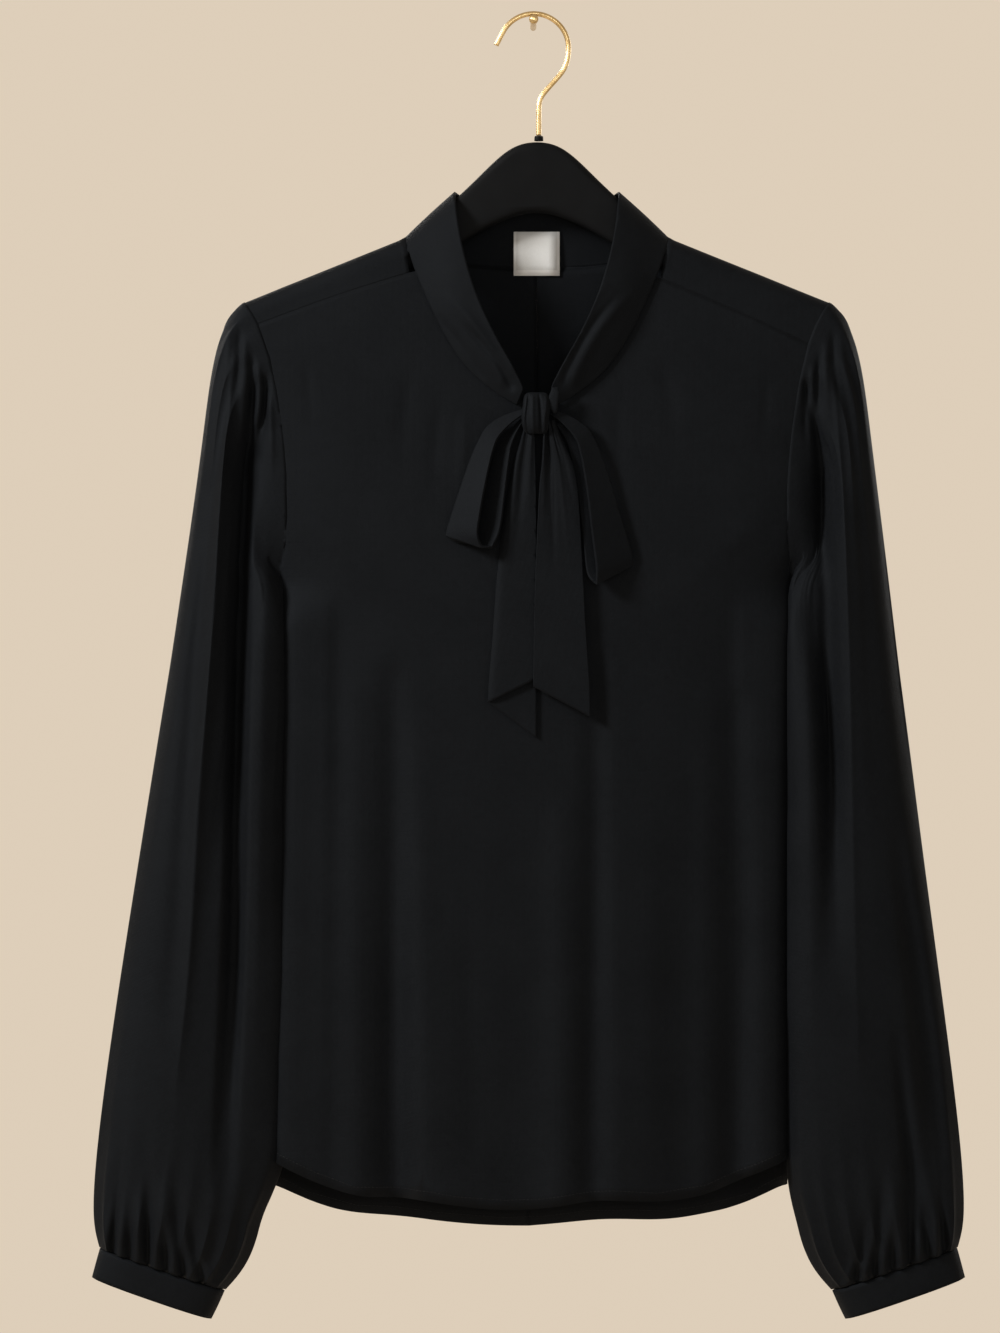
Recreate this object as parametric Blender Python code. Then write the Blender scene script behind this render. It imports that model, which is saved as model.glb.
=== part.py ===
"""A tie neck blouse hung flat on a shaped hanger, whose hook hangs on a brass wall peg.

The tables hold real sizes in millimetres, in the hanging frame: x to the right, y towards the
wall, z up, with the garment's middle at x = 0, the hanger's middle plane at y = 0 and the inside
of the hook's bend at z = 0. The frame's empty carries everything to metres and to the row frame,
whose origin is the peg's end at the wall.
"""

import math

import bmesh
import bpy
import numpy as np

MM = 0.001

# Gaps and cloth
SEAM_GAP = 0.3
SIDE_GAP = 0.9
CLOTH = 1.2
DOUBLE_CLOTH = 1.8

# Wall peg
PEG_RADIUS = 2.2
PEG_KNOB_RADIUS = 3.5
HANG_OUT = 42.0
PEG_X = -2.2

# Hook
WIRE = 4.0
HOOK_BEND_RADIUS = 24.7
HOOK_FACETS = 8
HOOK_POINTS = 36

# Hanger
HANGER_THICK = 12.0
HANGER_EDGE = 4.5
FERRULE_RADIUS = 3.3

# Shoulders: the cloth's ridge over the hanger's arms
RIDGE_RADIUS = 10.0
NECK_OUT = 92.5
NECK_Z = -156.0
TIP_OUT = 206.0
SHOULDER_SLOPE = 0.4035

UNDERARM_Z = -402.0
CLOSE_Z = -335.0
SIDE_SEAM_Y = 8.0
SIDE_POWER = 4.0


def table(names, *rows):
    """Columns of a table by name, each an array with a value for every row."""
    return dict(zip(names.split(), np.array(rows, float).T))


def through(keys, values, at):
    """A smooth curve through a table's values, read at any key."""
    keys, values = np.asarray(keys, float), np.asarray(values, float)
    if keys[0] > keys[-1]:
        keys, values = keys[::-1], values[::-1]
    at = np.clip(np.asarray(at, float), keys[0], keys[-1])
    slope = np.gradient(values, keys)
    i = np.clip(np.searchsorted(keys, at) - 1, 0, len(keys) - 2)
    step = keys[i + 1] - keys[i]
    t = (at - keys[i]) / step
    rise = 3 * t**2 - 2 * t**3
    return (
        values[i] * (1 - rise)
        + values[i + 1] * rise
        + slope[i] * step * (t**3 - 2 * t**2 + t)
        + slope[i + 1] * step * (t**3 - t**2)
    )


def ease(t):
    """From 0 to 1 with no corner at either end."""
    t = np.clip(t, 0, 1)
    return t * t * (3 - 2 * t)


# The garment's outline: armhole edge down to the underarm, then the side seam
SIDE = table(
    "z out",
    (-201, 206),
    (-206, 202),
    (-213, 197.6),
    (-222, 193.2),
    (-234, 189),
    (-248, 185.6),
    (-264, 182.4),
    (-284, 179),
    (-304, 176.6),
    (-326, 175.2),
    (-352, 174.8),
    (-380, 177),
    (-402, 184.5),
    (-420, 188.5),
    (-442, 187.5),
    (-472, 184),
    (-510, 182.5),
    (-620, 182.5),
    (-740, 183),
    (-802, 182.5),
    (-860, 181.5),
)
# How far the cloth bellies out beyond the ridge's own radius, in front and behind
SWELL = table(
    "z front back",
    (-140, 0, 1),
    (-176, 2.5, 5),
    (-215, 6, 6.5),
    (-270, 10, 8),
    (-340, 14, 10),
    (-430, 16.5, 12),
    (-600, 18, 13),
    (-860, 19, 14),
)
# The garment hangs a little to the left lower down
SWAY = table("z x", (-200, 0), (-330, 0), (-480, -2), (-620, -4.4), (-760, -5.4), (-920, -6))
# Soft folds down the front and the back: where each meets the hem, and how far it stands out
FRONT_FOLDS = table(
    "x width depth top lean",
    (-152, 20, 3.0, -480, 0.03),
    (-112, 20, -4.5, -430, 0.01),
    (-64, 26, 3.0, -470, 0.01),
    (-12, 18, -2.5, -600, 0.0),
    (46, 30, 3.5, -430, -0.01),
    (120, 21, -4.5, -430, -0.02),
    (158, 18, 2.5, -490, -0.04),
)
BACK_FOLDS = table(
    "x width depth top lean",
    (-128, 32, 4.0, -400, 0.12),
    (-62, 26, -3.0, -470, 0.05),
    (6, 36, 3.5, -420, 0.0),
    (74, 26, -3.5, -450, -0.07),
    (132, 30, 4.0, -390, -0.12),
)
# Hems, read across the garment before it sways
FRONT_HEM = table(
    "x z",
    (-183, -802),
    (-150, -818),
    (-122, -827.5),
    (-94, -829),
    (-68, -830.5),
    (-52, -833.5),
    (-17, -837),
    (8, -836),
    (34, -831.5),
    (59, -829.5),
    (90, -831.5),
    (123, -827),
    (156, -813.5),
    (183, -802),
)
BACK_HEM = table(
    "x z",
    (-183, -822),
    (-157, -835),
    (-122, -845),
    (-94, -846),
    (-63, -850),
    (-17, -854),
    (13, -853.5),
    (41, -849.5),
    (72, -848.5),
    (97, -849.5),
    (120, -846),
    (157, -836),
    (183, -822),
)
# The forward shoulder seam, on each side, and the neckline under the collar
SHOULDER_SEAM = table("out left right", (80, -178.5, -182.5), (135, -195.5, -206), (200, -219, -236))
NECKLINE = table(
    "out z",
    (0, -280),
    (14, -271),
    (34, -251),
    (52, -229),
    (65, -207),
    (76, -187),
    (84, -172),
)
BACK_NECK = table("out z", (0, -177), (36, -175), (68, -170), (88.5, -166))


def ridge_z(x):
    """Height of the shoulder's ridge, carried on across the neck."""
    return NECK_Z - SHOULDER_SLOPE * (np.abs(x) - NECK_OUT)


def side_out(z):
    return through(SIDE["z"], SIDE["out"], z)


def sway(z):
    return through(SWAY["z"], SWAY["x"], z)


def folds(rows, x, z, hem=-850.0):
    """How far the soft folds of one face stand out at a point."""
    out = np.zeros(np.broadcast(x, z).shape)
    for at, width, depth, top, lean in zip(*rows.values()):
        centre = at + lean * (z - hem)
        out = out + depth * np.exp(-(((x - centre) / width) ** 2)) * ease((top - z) / (top - hem))
    return out


def body_y(x, z, face):
    """Depth of the body's cloth at a point: face is -1 in front and 1 behind."""
    drop = np.clip(ridge_z(x) - z, 0, None)
    turned = np.sqrt(1 - (1 - np.clip(drop / RIDGE_RADIUS, 0, 1)) ** 2)
    across = np.clip(np.abs(x) / side_out(z), 0, 1)
    swell = through(SWELL["z"], SWELL["front" if face < 0 else "back"], z)
    lifted = 1 - np.exp(-((drop / 25) ** 2))
    belly = swell * lifted * np.sqrt(1 - (0.93 * across) ** SIDE_POWER)
    stands = folds(FRONT_FOLDS if face < 0 else BACK_FOLDS, x, z)
    reach = RIDGE_RADIUS * turned + belly + stands
    closing = 1 - np.sqrt(1 - np.clip((CLOSE_Z - z) / (CLOSE_Z - UNDERARM_Z), 0, 1) ** 2)
    side_y = SIDE_SEAM_Y * closing
    edge = np.sqrt(np.clip(1 - across**SIDE_POWER, 0, 1))
    return side_y + (face * reach - side_y) * (1 - closing * (1 - edge))


def on_body(x, z, face, off=0.0):
    """A point on the body's cloth, moved out by off, with the sway."""
    y = body_y(x, z, face) + face * off
    x, y, z = np.broadcast_arrays(x + sway(z), y, z)
    return np.stack([x, y, z], axis=-1)


def unit(v):
    return v / np.maximum(np.linalg.norm(v, axis=-1, keepdims=True), 1e-9)


def slopes(grid, ring):
    """Tangents of a grid of points along its rows and across them."""
    down = np.gradient(grid, axis=0)
    if ring:
        across = np.roll(grid, -1, axis=1) - np.roll(grid, 1, axis=1)
    else:
        across = np.gradient(grid, axis=1)
    return down, across


def mesh_object(name, points, faces, colour, frame):
    """One named object from points in millimetres, with its own material."""
    mesh = bpy.data.meshes.new(name)
    mesh.from_pydata([tuple(p) for p in np.asarray(points) * MM], [], [tuple(f) for f in faces])
    shape = bmesh.new()
    shape.from_mesh(mesh)
    if shape.calc_volume(signed=True) < 0:
        bmesh.ops.reverse_faces(shape, faces=shape.faces)
    shape.to_mesh(mesh)
    shape.free()
    mesh.shade_smooth()
    mesh.set_sharp_from_angle(angle=math.radians(40))
    obj = bpy.data.objects.new(name, mesh)
    bpy.context.scene.collection.objects.link(obj)
    obj.parent = frame
    finish(obj, colour)
    return obj


def finish(obj, colour):
    """A Principled material of the piece's own: colour, roughness and metal."""
    material = bpy.data.materials.new(obj.name)
    material.use_nodes = True
    shader = material.node_tree.nodes["Principled BSDF"]
    red, green, blue, rough, metal = colour
    shader.inputs["Base Color"].default_value = (red, green, blue, 1)
    shader.inputs["Roughness"].default_value = rough
    shader.inputs["Metallic"].default_value = metal
    obj.data.materials.append(material)


def wall(name, grid, thick, colour, frame, ring=False, kept=None):
    """A closed wall of cloth round a grid of points (rows, columns, 3) down its middle.

    kept says which cells of the grid have cloth; ring joins the last column to the first.
    """
    grid = np.asarray(grid, float)
    rows, columns = grid.shape[:2]
    down, across = slopes(grid, ring)
    normal = unit(np.cross(across, down))
    points = np.concatenate(
        [(grid + normal * thick / 2).reshape(-1, 3), (grid - normal * thick / 2).reshape(-1, 3)]
    )
    under = rows * columns
    faces, edges = [], {}
    for r in range(rows - 1):
        for c in range(columns if ring else columns - 1):
            if kept is not None and not kept[r, c]:
                continue
            n = (c + 1) % columns
            cell = (r * columns + c, r * columns + n, (r + 1) * columns + n, (r + 1) * columns + c)
            faces.append(cell)
            faces.append(tuple(i + under for i in reversed(cell)))
            for a, b in zip(cell, cell[1:] + cell[:1]):
                edges[a, b] = True
    for a, b in edges:
        if (b, a) not in edges:
            faces.append((b, a, a + under, b + under))
    used = sorted({i for f in faces for i in f})
    place = {i: k for k, i in enumerate(used)}
    return mesh_object(name, points[used], [[place[i] for i in f] for f in faces], colour, frame)


def lump(name, rings, colour, frame):
    """A closed solid through a stack of rings, with both ends filled."""
    rings = np.asarray(rings, float)
    count, around = rings.shape[:2]
    faces = [tuple(range(around)), tuple(reversed(range((count - 1) * around, count * around)))]
    for r in range(count - 1):
        for c in range(around):
            n = (c + 1) % around
            faces.append((r * around + c, (r + 1) * around + c, (r + 1) * around + n, r * around + n))
    return mesh_object(name, rings.reshape(-1, 3), faces, colour, frame)


BLACK_CREPE = (0.012, 0.012, 0.014, 0.72, 0.0)
BLACK_HANGER = (0.011, 0.012, 0.013, 0.6, 0.0)
BRASS = (0.72, 0.52, 0.22, 0.28, 1.0)
LABEL_WHITE = (0.72, 0.71, 0.68, 0.8, 0.0)

# Shares of the half width at which the body's columns run, from the middle to the side
FRONT_COLUMNS = (0, 0.09, 0.2, 0.31, 0.42, 0.53, 0.64, 0.75, 0.84, 0.915, 0.97, 0.992, 1)
FRONT_ROWS = (0, 0.04, 0.08, 0.13, 0.18, 0.23, 0.265, 0.3, 0.37, 0.47, 0.6, 0.74, 0.88, 1)
BACK_COLUMNS = (0, 0.13, 0.26, 0.37, 0.4575, 0.57, 0.69, 0.8, 0.9, 0.97, 0.992, 1)
BACK_NECK_COLUMN = 4
BACK_ROWS = (0, 0.04, 0.08, 0.13, 0.18, 0.24, 0.27, 0.31, 0.38, 0.48, 0.61, 0.75, 0.88, 1)
# The back's rows over the ridge, as shares of a quarter turn: negative in front
WRAP_ROWS = (-1, -0.6, -0.2, 0.2, 0.6)


def front_top(x, side):
    """Upper edge of the front panel: the neckline, then the forward shoulder seam."""
    out = abs(x)
    seam = float(through(SHOULDER_SEAM["out"], SHOULDER_SEAM[side], out)) - SEAM_GAP / 2
    if out > 80:
        return seam
    return min(float(through(NECKLINE["out"], NECKLINE["z"], out)), seam)


def corner_z(side):
    """Where the forward shoulder seam meets the armhole."""
    z = -215.0
    for _ in range(20):
        z = float(through(SHOULDER_SEAM["out"], SHOULDER_SEAM[side], side_out(z)))
    return z


def column_down(share, top, hem, rows, edge_inset, roof):
    """(x, z) down one column of a body panel; it follows the side as it narrows and flares."""
    points = []
    for part in rows:
        z = top + (hem - top) * part
        x = share * (float(side_out(min(z, roof))) - edge_inset)
        points.append((x, z))
    return points


def make_front(frame):
    columns = [-s for s in reversed(FRONT_COLUMNS[1:])] + list(FRONT_COLUMNS)
    grid = []
    for share in columns:
        side = "left" if share < 0 else "right"
        roof = corner_z(side)
        x_top = share * float(side_out(roof))
        top = front_top(x_top, side)
        x_hem = share * float(side_out(-815))
        hem = float(through(FRONT_HEM["x"], FRONT_HEM["z"], x_hem))
        line = column_down(share, top, hem, FRONT_ROWS, 0, roof)
        seam = abs(share) == 1
        column = []
        for x, z in line:
            point = on_body(x, z, -1)
            if seam and z < UNDERARM_Z:
                point[1] -= SIDE_GAP / 2
            column.append(point)
        grid.append(column)
    grid = np.swapaxes(np.array(grid), 0, 1)
    wall("front", grid, CLOTH, BLACK_CREPE, frame)


def edge_out(drop):
    """Half width of the garment where its armhole edge lies so far below the ridge."""
    out = TIP_OUT
    for _ in range(30):
        out = float(side_out(ridge_z(out) - drop))
    return out


def make_back(side, frame):
    """Half of the back, from its centre seam to the armhole and over the shoulder to the front."""
    sign = -1 if side == "left" else 1
    wraps = len(WRAP_ROWS) + 2
    roof = corner_z(side)
    grid = np.zeros((wraps + len(BACK_ROWS), len(BACK_COLUMNS), 3))
    for c, share in enumerate(BACK_COLUMNS):
        outer = share >= BACK_COLUMNS[BACK_NECK_COLUMN]
        z_seam = float(through(SHOULDER_SEAM["out"], SHOULDER_SEAM[side], share * side_out(roof)))
        x_seam = share * float(side_out(roof))
        grid[0, c] = on_body(sign * x_seam, z_seam + SEAM_GAP / 2, -1)
        z_half = (z_seam + float(ridge_z(x_seam)) - RIDGE_RADIUS) / 2
        edge_half = (roof + float(ridge_z(side_out(roof))) - RIDGE_RADIUS) / 2
        grid[1, c] = on_body(sign * share * float(side_out(edge_half)), z_half, -1)
        for r, arc in enumerate(WRAP_ROWS, start=2):
            drop = RIDGE_RADIUS * (1 - math.cos(arc * math.pi / 2))
            x = share * edge_out(drop)
            z = float(ridge_z(x)) - drop
            grid[r, c] = (sign * x, body_y(x, z, -1 if arc < 0 else 1), z)
        x_top = share * edge_out(RIDGE_RADIUS)
        top = float(ridge_z(x_top)) - RIDGE_RADIUS
        if not outer:
            top = float(through(BACK_NECK["out"], BACK_NECK["z"], x_top))
        hem = float(through(BACK_HEM["x"], BACK_HEM["z"], sign * share * side_out(-835)))
        for r, part in enumerate(BACK_ROWS):
            z = top + (hem - top) * part
            x = sign * share * float(side_out(min(z, -213)))
            if c == 0:
                x = sign * SEAM_GAP / 2
            point = on_body(x, z, 1)
            if c == 0:
                point[0] = sign * SEAM_GAP / 2 + sway(z)
            if share == 1 and z < UNDERARM_Z:
                point[1] += SIDE_GAP / 2
            grid[wraps + r, c] = point
    kept = np.ones((grid.shape[0] - 1, grid.shape[1] - 1), bool)
    kept[:wraps, :BACK_NECK_COLUMN] = False
    wall(f"back_{side}", grid, CLOTH, BLACK_CREPE, frame, kept=kept)


# A sleeve's sections, as its outer and inner ends and how deep it bellies between them
SLEEVE = table(
    "outer outer_z outer_y inner inner_z inner_y front back",
    (207.0, -202.5, 0, 185.5, -403.5, 8, 12, 12),
    (212.0, -207, -0.5, 188.2, -405.2, 7.8, 13, 12),
    (221.0, -221.5, -1, 189.6, -411.5, 6.4, 15, 13),
    (229.0, -251, -2, 188.2, -427, 0.0, 17, 14),
    (234.0, -294, -4, 184.5, -450, -9, 19, 15),
    (243.0, -362, -5, 180.0, -497, -11.5, 20, 17),
    (257.5, -470, -6, 178.5, -567, -11, 22, 17),
    (274.0, -587, -7, 179.5, -648, -11, 22, 17),
    (289.5, -692, -7, 181.2, -727, -11, 22, 17),
    (301.0, -782, -6, 183.4, -802, -9, 22, 18),
    (304.2, -832, -5, 189.5, -850, -7, 21, 19),
    (302.8, -853, -5, 200.0, -878, -6, 18, 17),
    (300.2, -865.5, -5, 214.0, -894.5, -5, 13.3, 13.3),
)
SLEEVE_SEGMENTS = 54
SLEEVE_END_POWER = 2.6
# Gathers stand out by these amounts at each section: at the head, then at the cuff
HEAD_GATHERS = (0, 0.9, 1.5, 1.2, 0.7, 0.3, 0, 0, 0, 0, 0, 0, 0)
CUFF_GATHERS = (0, 0, 0, 0, 0, 0, 0, 0, 0, 0.7, 1.7, 2.0, 0.9)
GATHER_POINTS = 3
# Long folds down each sleeve's front and back, by the line that each follows
SLEEVE_FOLDS = {
    "left": (
        (-1, 9.0, 7.5, table("z out", (-262, 199), (-341, 207), (-481, 210), (-621, 211), (-800, 214))),
        (-1, -2.0, 5.0, table("z out", (-262, 212), (-327, 219), (-481, 228), (-621, 237), (-800, 252))),
        (-1, 3.0, 8.0, table("z out", (-640, 258), (-720, 265), (-800, 272), (-846, 276))),
        (1, 8.0, 8.5, table("z out", (-270, 212), (-400, 220), (-560, 229), (-700, 238), (-800, 244))),
    ),
    "right": (
        (-1, 9.0, 7.5, table("z out", (-262, 196), (-341, 200), (-470, 203), (-563, 212), (-650, 218))),
        (-1, -2.0, 6.0, table("z out", (-262, 210), (-341, 218), (-481, 226), (-640, 236), (-720, 240))),
        (-1, 6.5, 7.0, table("z out", (-600, 249), (-698, 257), (-761, 263), (-846, 271))),
        (1, 8.0, 8.5, table("z out", (-270, 210), (-400, 217), (-560, 226), (-700, 236), (-800, 242))),
    ),
}
FOLD_FADE = 70.0


def armhole_ring(count, crowding):
    """The armhole's edge from the shoulder's tip down the front, and back up behind."""
    halves = []
    for face in (-1, 1):
        z = np.linspace(ridge_z(TIP_OUT), UNDERARM_Z, 200)
        out = side_out(z)
        line = np.stack([out, body_y(out, z, face), z], axis=-1)
        along = np.concatenate([[0], np.cumsum(np.linalg.norm(np.diff(line, axis=0), axis=1))])
        at = along[-1] * np.linspace(0, 1, count // 2 + 1) ** crowding
        halves.append(np.stack([np.interp(at, along, line[:, k]) for k in range(3)], axis=-1))
    return np.concatenate([halves[0][:-1], halves[1][:0:-1]])


def flat_ring(outer, inner, front, back, count, crowding):
    """A flattened ring between two ends: down the front from the outer end, back up behind."""
    outer, inner = np.array(outer), np.array(inner)
    part = np.linspace(0, 1, count // 2 + 1)
    share = 0.45 * part**crowding + 0.55 * (1 - np.cos(math.pi * part)) / 2
    bulge = np.sqrt(1 - np.abs(2 * share - 1) ** SLEEVE_END_POWER)
    line = outer + (inner - outer) * share[:, None]
    ahead, behind = line.copy(), line.copy()
    ahead[:, 1] -= front * bulge
    behind[:, 1] += back * bulge
    return np.concatenate([ahead[:-1], behind[:0:-1]])


def fold_push(side, ring):
    """How far the long folds press a sleeve's points in, towards its middle."""
    out, z = ring[:, 0], ring[:, 2]
    half = len(ring) // 2
    face = np.where(np.arange(len(ring)) <= half, -1, 1)
    push = np.zeros(len(ring))
    for on_face, depth, width, line in SLEEVE_FOLDS[side]:
        centre = through(line["z"], line["out"], z)
        top, foot = line["z"][0], line["z"][-1]
        strength = ease((top + 20 - z) / FOLD_FADE) * ease((z - foot + 20) / FOLD_FADE)
        push -= on_face * (face == on_face) * depth * strength * np.exp(-(((out - centre) / width) ** 2))
    return push


def sleeve_rings(side):
    """The sleeve's rings down its middle, with outward as positive x and before it sways."""
    count = SLEEVE_SEGMENTS
    head = armhole_ring(count, 1.3)
    head[:, 0] += SEAM_GAP + 0.7 * CLOTH + CLOTH / 2 * ease((-350 - head[:, 2]) / 50)
    step = np.arange(count)
    # The gathers crowd the head's upper half, and go all round the cuff
    top_share = np.minimum(step, count - step) / (count / 2)
    crest = np.cos(2 * math.pi * step / GATHER_POINTS)
    rings = []
    for k, row in enumerate(zip(*SLEEVE.values())):
        outer, outer_z, outer_y, inner, inner_z, inner_y, front, back = row
        crowding = 1.3 - 0.3 * ease(k / 6)
        ends = (outer, outer_y, outer_z), (inner, inner_y, inner_z)
        ring = flat_ring(*ends, front, back, count, crowding)
        if k == 0:
            residual = head - ring
        ring = ring + residual * (1 - ease(k / np.array([2.5, 4.0, 4.0])))
        ring[:, 1] += fold_push(side, ring)
        centre = ring.mean(axis=0)
        outward = unit((ring - centre) * np.array([0.35, 1, 0.35]))
        lift = HEAD_GATHERS[k] * crest * (1 - ease((top_share - 0.45) / 0.25))
        lift = lift + CUFF_GATHERS[k] * crest
        rings.append(ring + outward * lift[:, None])
    return np.array(rings)


def placed(points, side):
    """Points with outward as positive x, set on their own side of the garment, with the sway."""
    out = np.array(points, float)
    out[..., 0] = (-1 if side == "left" else 1) * out[..., 0] + sway(out[..., 2])
    return out


def make_sleeve(side, frame):
    wall(f"sleeve_{side}", placed(sleeve_rings(side), side), CLOTH, BLACK_CREPE, frame, ring=True)


# A cuff's upper and lower rings
CUFF = table(
    "outer outer_z inner inner_z deep",
    (300.3, -866.2, 214.2, -895.5, 13.4),
    (303.4, -877.2, 219.0, -906.6, 13.4),
    (305.9, -886.8, 223.5, -915.4, 13.0),
)
CUFF_Y = -5.0
CUFF_SEGMENTS = 32


def make_cuff(side, frame):
    rings = []
    for outer, outer_z, inner, inner_z, deep in zip(*CUFF.values()):
        ends = (outer, CUFF_Y, outer_z), (inner, CUFF_Y, inner_z)
        rings.append(flat_ring(*ends, deep, deep, CUFF_SEGMENTS, 1.0))
    wall(f"cuff_{side}", placed(rings, side), DOUBLE_CLOTH, BLACK_CREPE, frame, ring=True)


# The tie collar from the knot round the neck: its sewn edge, its free edge, and how far
# each stands off the front cloth; rows past the ridge give their own depth instead
COLLAR_FRONT = table(
    "seam seam_z seam_off edge edge_z edge_y",
    (13.5, -274.5, 3.6, 9.2, -263.5, -28.2),
    (27.5, -266.5, 2.6, 17.0, -248, -30),
    (47.5, -250, 2.3, 31.5, -222, -30.5),
    (63.5, -227, 2.2, 43.0, -196, -29),
    (76.5, -200.5, 2.2, 50.5, -171, -25.5),
    (86.0, -178, 2.1, 55.0, -149, -19.5),
)
COLLAR_TOP = table(
    "seam seam_y seam_z edge edge_y edge_z",
    (90.6, -10.2, -162.6, 57.0, -10.8, -131.5),
    (92.8, 0, -154.6, 58.0, 0, -123.0),
    (89.5, 11.0, -160.5, 55.0, 10.2, -125.0),
    (72, 15.5, -167.6, 43, 11.0, -129.5),
    (38, 16.2, -173.8, 24, 11.4, -132.5),
    (0, 16.4, -175.8, 0, 11.6, -134.0),
)
COLLAR_STEPS = 27
COLLAR_ACROSS = (0, 0.25, 0.5, 0.75, 1)
COLLAR_ROLL = 3.2


def spline(points, count):
    """Points evenly spaced along a smooth line through the given ones."""
    points = np.asarray(points, float)
    key = np.arange(len(points), dtype=float)
    fine = np.linspace(0, key[-1], 40 * len(points))
    line = np.stack([through(key, points[:, k], fine) for k in range(3)], axis=-1)
    along = np.concatenate([[0], np.cumsum(np.linalg.norm(np.diff(line, axis=0), axis=1))])
    at = np.linspace(0, along[-1], count)
    return np.stack([np.interp(at, along, line[:, k]) for k in range(3)], axis=-1)


def collar_edges():
    """The collar's sewn edge and free edge from the left end of the knot round to the right."""
    seam, edge = [], []
    for out, z, off, free, free_z, free_y in zip(*COLLAR_FRONT.values()):
        seam.append((-out, float(body_y(out, z, -1)) - off, z))
        edge.append((-free, free_y, free_z))
    for out, y, z, free, free_y, free_z in zip(*COLLAR_TOP.values()):
        seam.append((-out, y, z))
        edge.append((-free, free_y, free_z))
    mirror = np.array([-1, 1, 1])
    seam, edge = np.array(seam), np.array(edge)
    return np.concatenate([seam, seam[-2::-1] * mirror]), np.concatenate([edge, edge[-2::-1] * mirror])


def matched(first, second, count):
    """Two edges of a band, read at the same shares of the first one's length."""
    key = np.arange(len(first), dtype=float)
    fine = np.linspace(0, key[-1], 40 * len(first))
    lines = [np.stack([through(key, e[:, k], fine) for k in range(3)], axis=-1) for e in (first, second)]
    steps = np.linalg.norm(np.diff(lines[0], axis=0), axis=1)
    along = np.concatenate([[0], np.cumsum(steps)])
    at = np.linspace(0, along[-1], count)
    return [np.stack([np.interp(at, along, e[:, k]) for k in range(3)], axis=-1) for e in lines]


def make_collar(frame):
    seam, edge = matched(*collar_edges(), 2 * COLLAR_STEPS - 1)
    rows = []
    middle = COLLAR_STEPS - 1
    for k in range(len(seam)):
        along = unit(seam[min(k + 1, len(seam) - 1)] - seam[max(k - 1, 0)])
        face = unit(np.cross(edge[k] - seam[k], along))
        fuller = 1 - abs(k - middle) / middle
        roll = COLLAR_ROLL * (0.15 + 0.85 * math.sin(math.pi * min(1.0, fuller * 1.6)) ** 2)
        line = [
            seam[k] + (edge[k] - seam[k]) * t + face * roll * math.sin(math.pi * t) for t in COLLAR_ACROSS
        ]
        rows.append(line)
    wall("tie_collar", rows, DOUBLE_CLOTH, BLACK_CREPE, frame)


# The bow, as it hangs in front: each line gives places on the front cloth and how far out
BOW_LEFT = table(
    "near near_z near_off far far_z far_off",
    (-14.4, -279.5, 9.5, -14.0, -274.5, 7.5),
    (-22.4, -287.7, 10, -23.1, -278.7, 6.5),
    (-30.0, -303.8, 12, -33.6, -287.7, 6),
    (-36.4, -331.8, 15, -44.1, -307.3, 5.2),
    (-40.8, -357.0, 17, -53.2, -332.5, 4.2),
    (-42.0, -367.5, 17.5, -62.3, -359.8, 3.8),
    (-39.2, -373.8, 16.2, -63.7, -365.4, 3.4),
    (-34.3, -375.9, 14, -60.9, -368.2, 2.6),
    (-28.7, -371.0, 12, -55.3, -369.6, 2.3),
    (-25.2, -358.4, 10.2, -48.3, -366.8, 2.2),
    (-23.1, -340.9, 9, -42.7, -354.9, 2.2),
    (-20.3, -318.5, 8, -36.4, -333.9, 2.2),
    (-17.2, -297.5, 7, -28.0, -305.9, 2.6),
    (-15.2, -290.5, 6.2, -18.9, -288.4, 2.6),
)
BOW_RIGHT = table(
    "near near_z near_off far far_z far_off",
    (17.4, -280.5, 9.5, 17.0, -272.5, 7.5),
    (22.4, -286.0, 10, 27.3, -279.3, 7),
    (29.4, -305.2, 12, 38.5, -296.1, 6.2),
    (34.3, -331.8, 13.5, 47.6, -317.8, 5.4),
    (37.8, -361.9, 15, 56.0, -345.1, 4.6),
    (41.3, -389.9, 16.5, 66.5, -379.4, 4.0),
    (42.7, -396.9, 16, 67.9, -384.3, 3.4),
    (39.9, -400.4, 14, 65.8, -387.1, 2.6),
    (36.4, -398.3, 12, 62.3, -387.8, 2.3),
    (34.3, -391.3, 8, 58.1, -384.3, 2.2),
    (32.2, -370.3, 5.6, 52.5, -361.9, 2.2),
    (29.4, -344.4, 4.8, 46.2, -333.9, 2.2),
    (24.5, -315.0, 4.4, 38.5, -305.9, 2.4),
    (18.6, -292.0, 4.4, 26.0, -288.0, 2.6),
)
BOW_STEPS = 26
BOW_ACROSS = (0, 0.33, 0.67, 1)


def off_front(x, z, off):
    """A point hung off the front cloth, where x is read after the sway."""
    y = body_y(x - sway(z), z, -1) - off
    return np.stack(np.broadcast_arrays(x, y, z), axis=-1)


def make_bow(side, rows, frame):
    near = off_front(rows["near"], rows["near_z"], rows["near_off"])
    far = off_front(rows["far"], rows["far_z"], rows["far_off"])
    near, far = matched(near, far, BOW_STEPS)
    grid = [near + (far - near) * t for t in BOW_ACROSS]
    wall(f"bow_{side}", grid, DOUBLE_CLOTH, BLACK_CREPE, frame)


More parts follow.
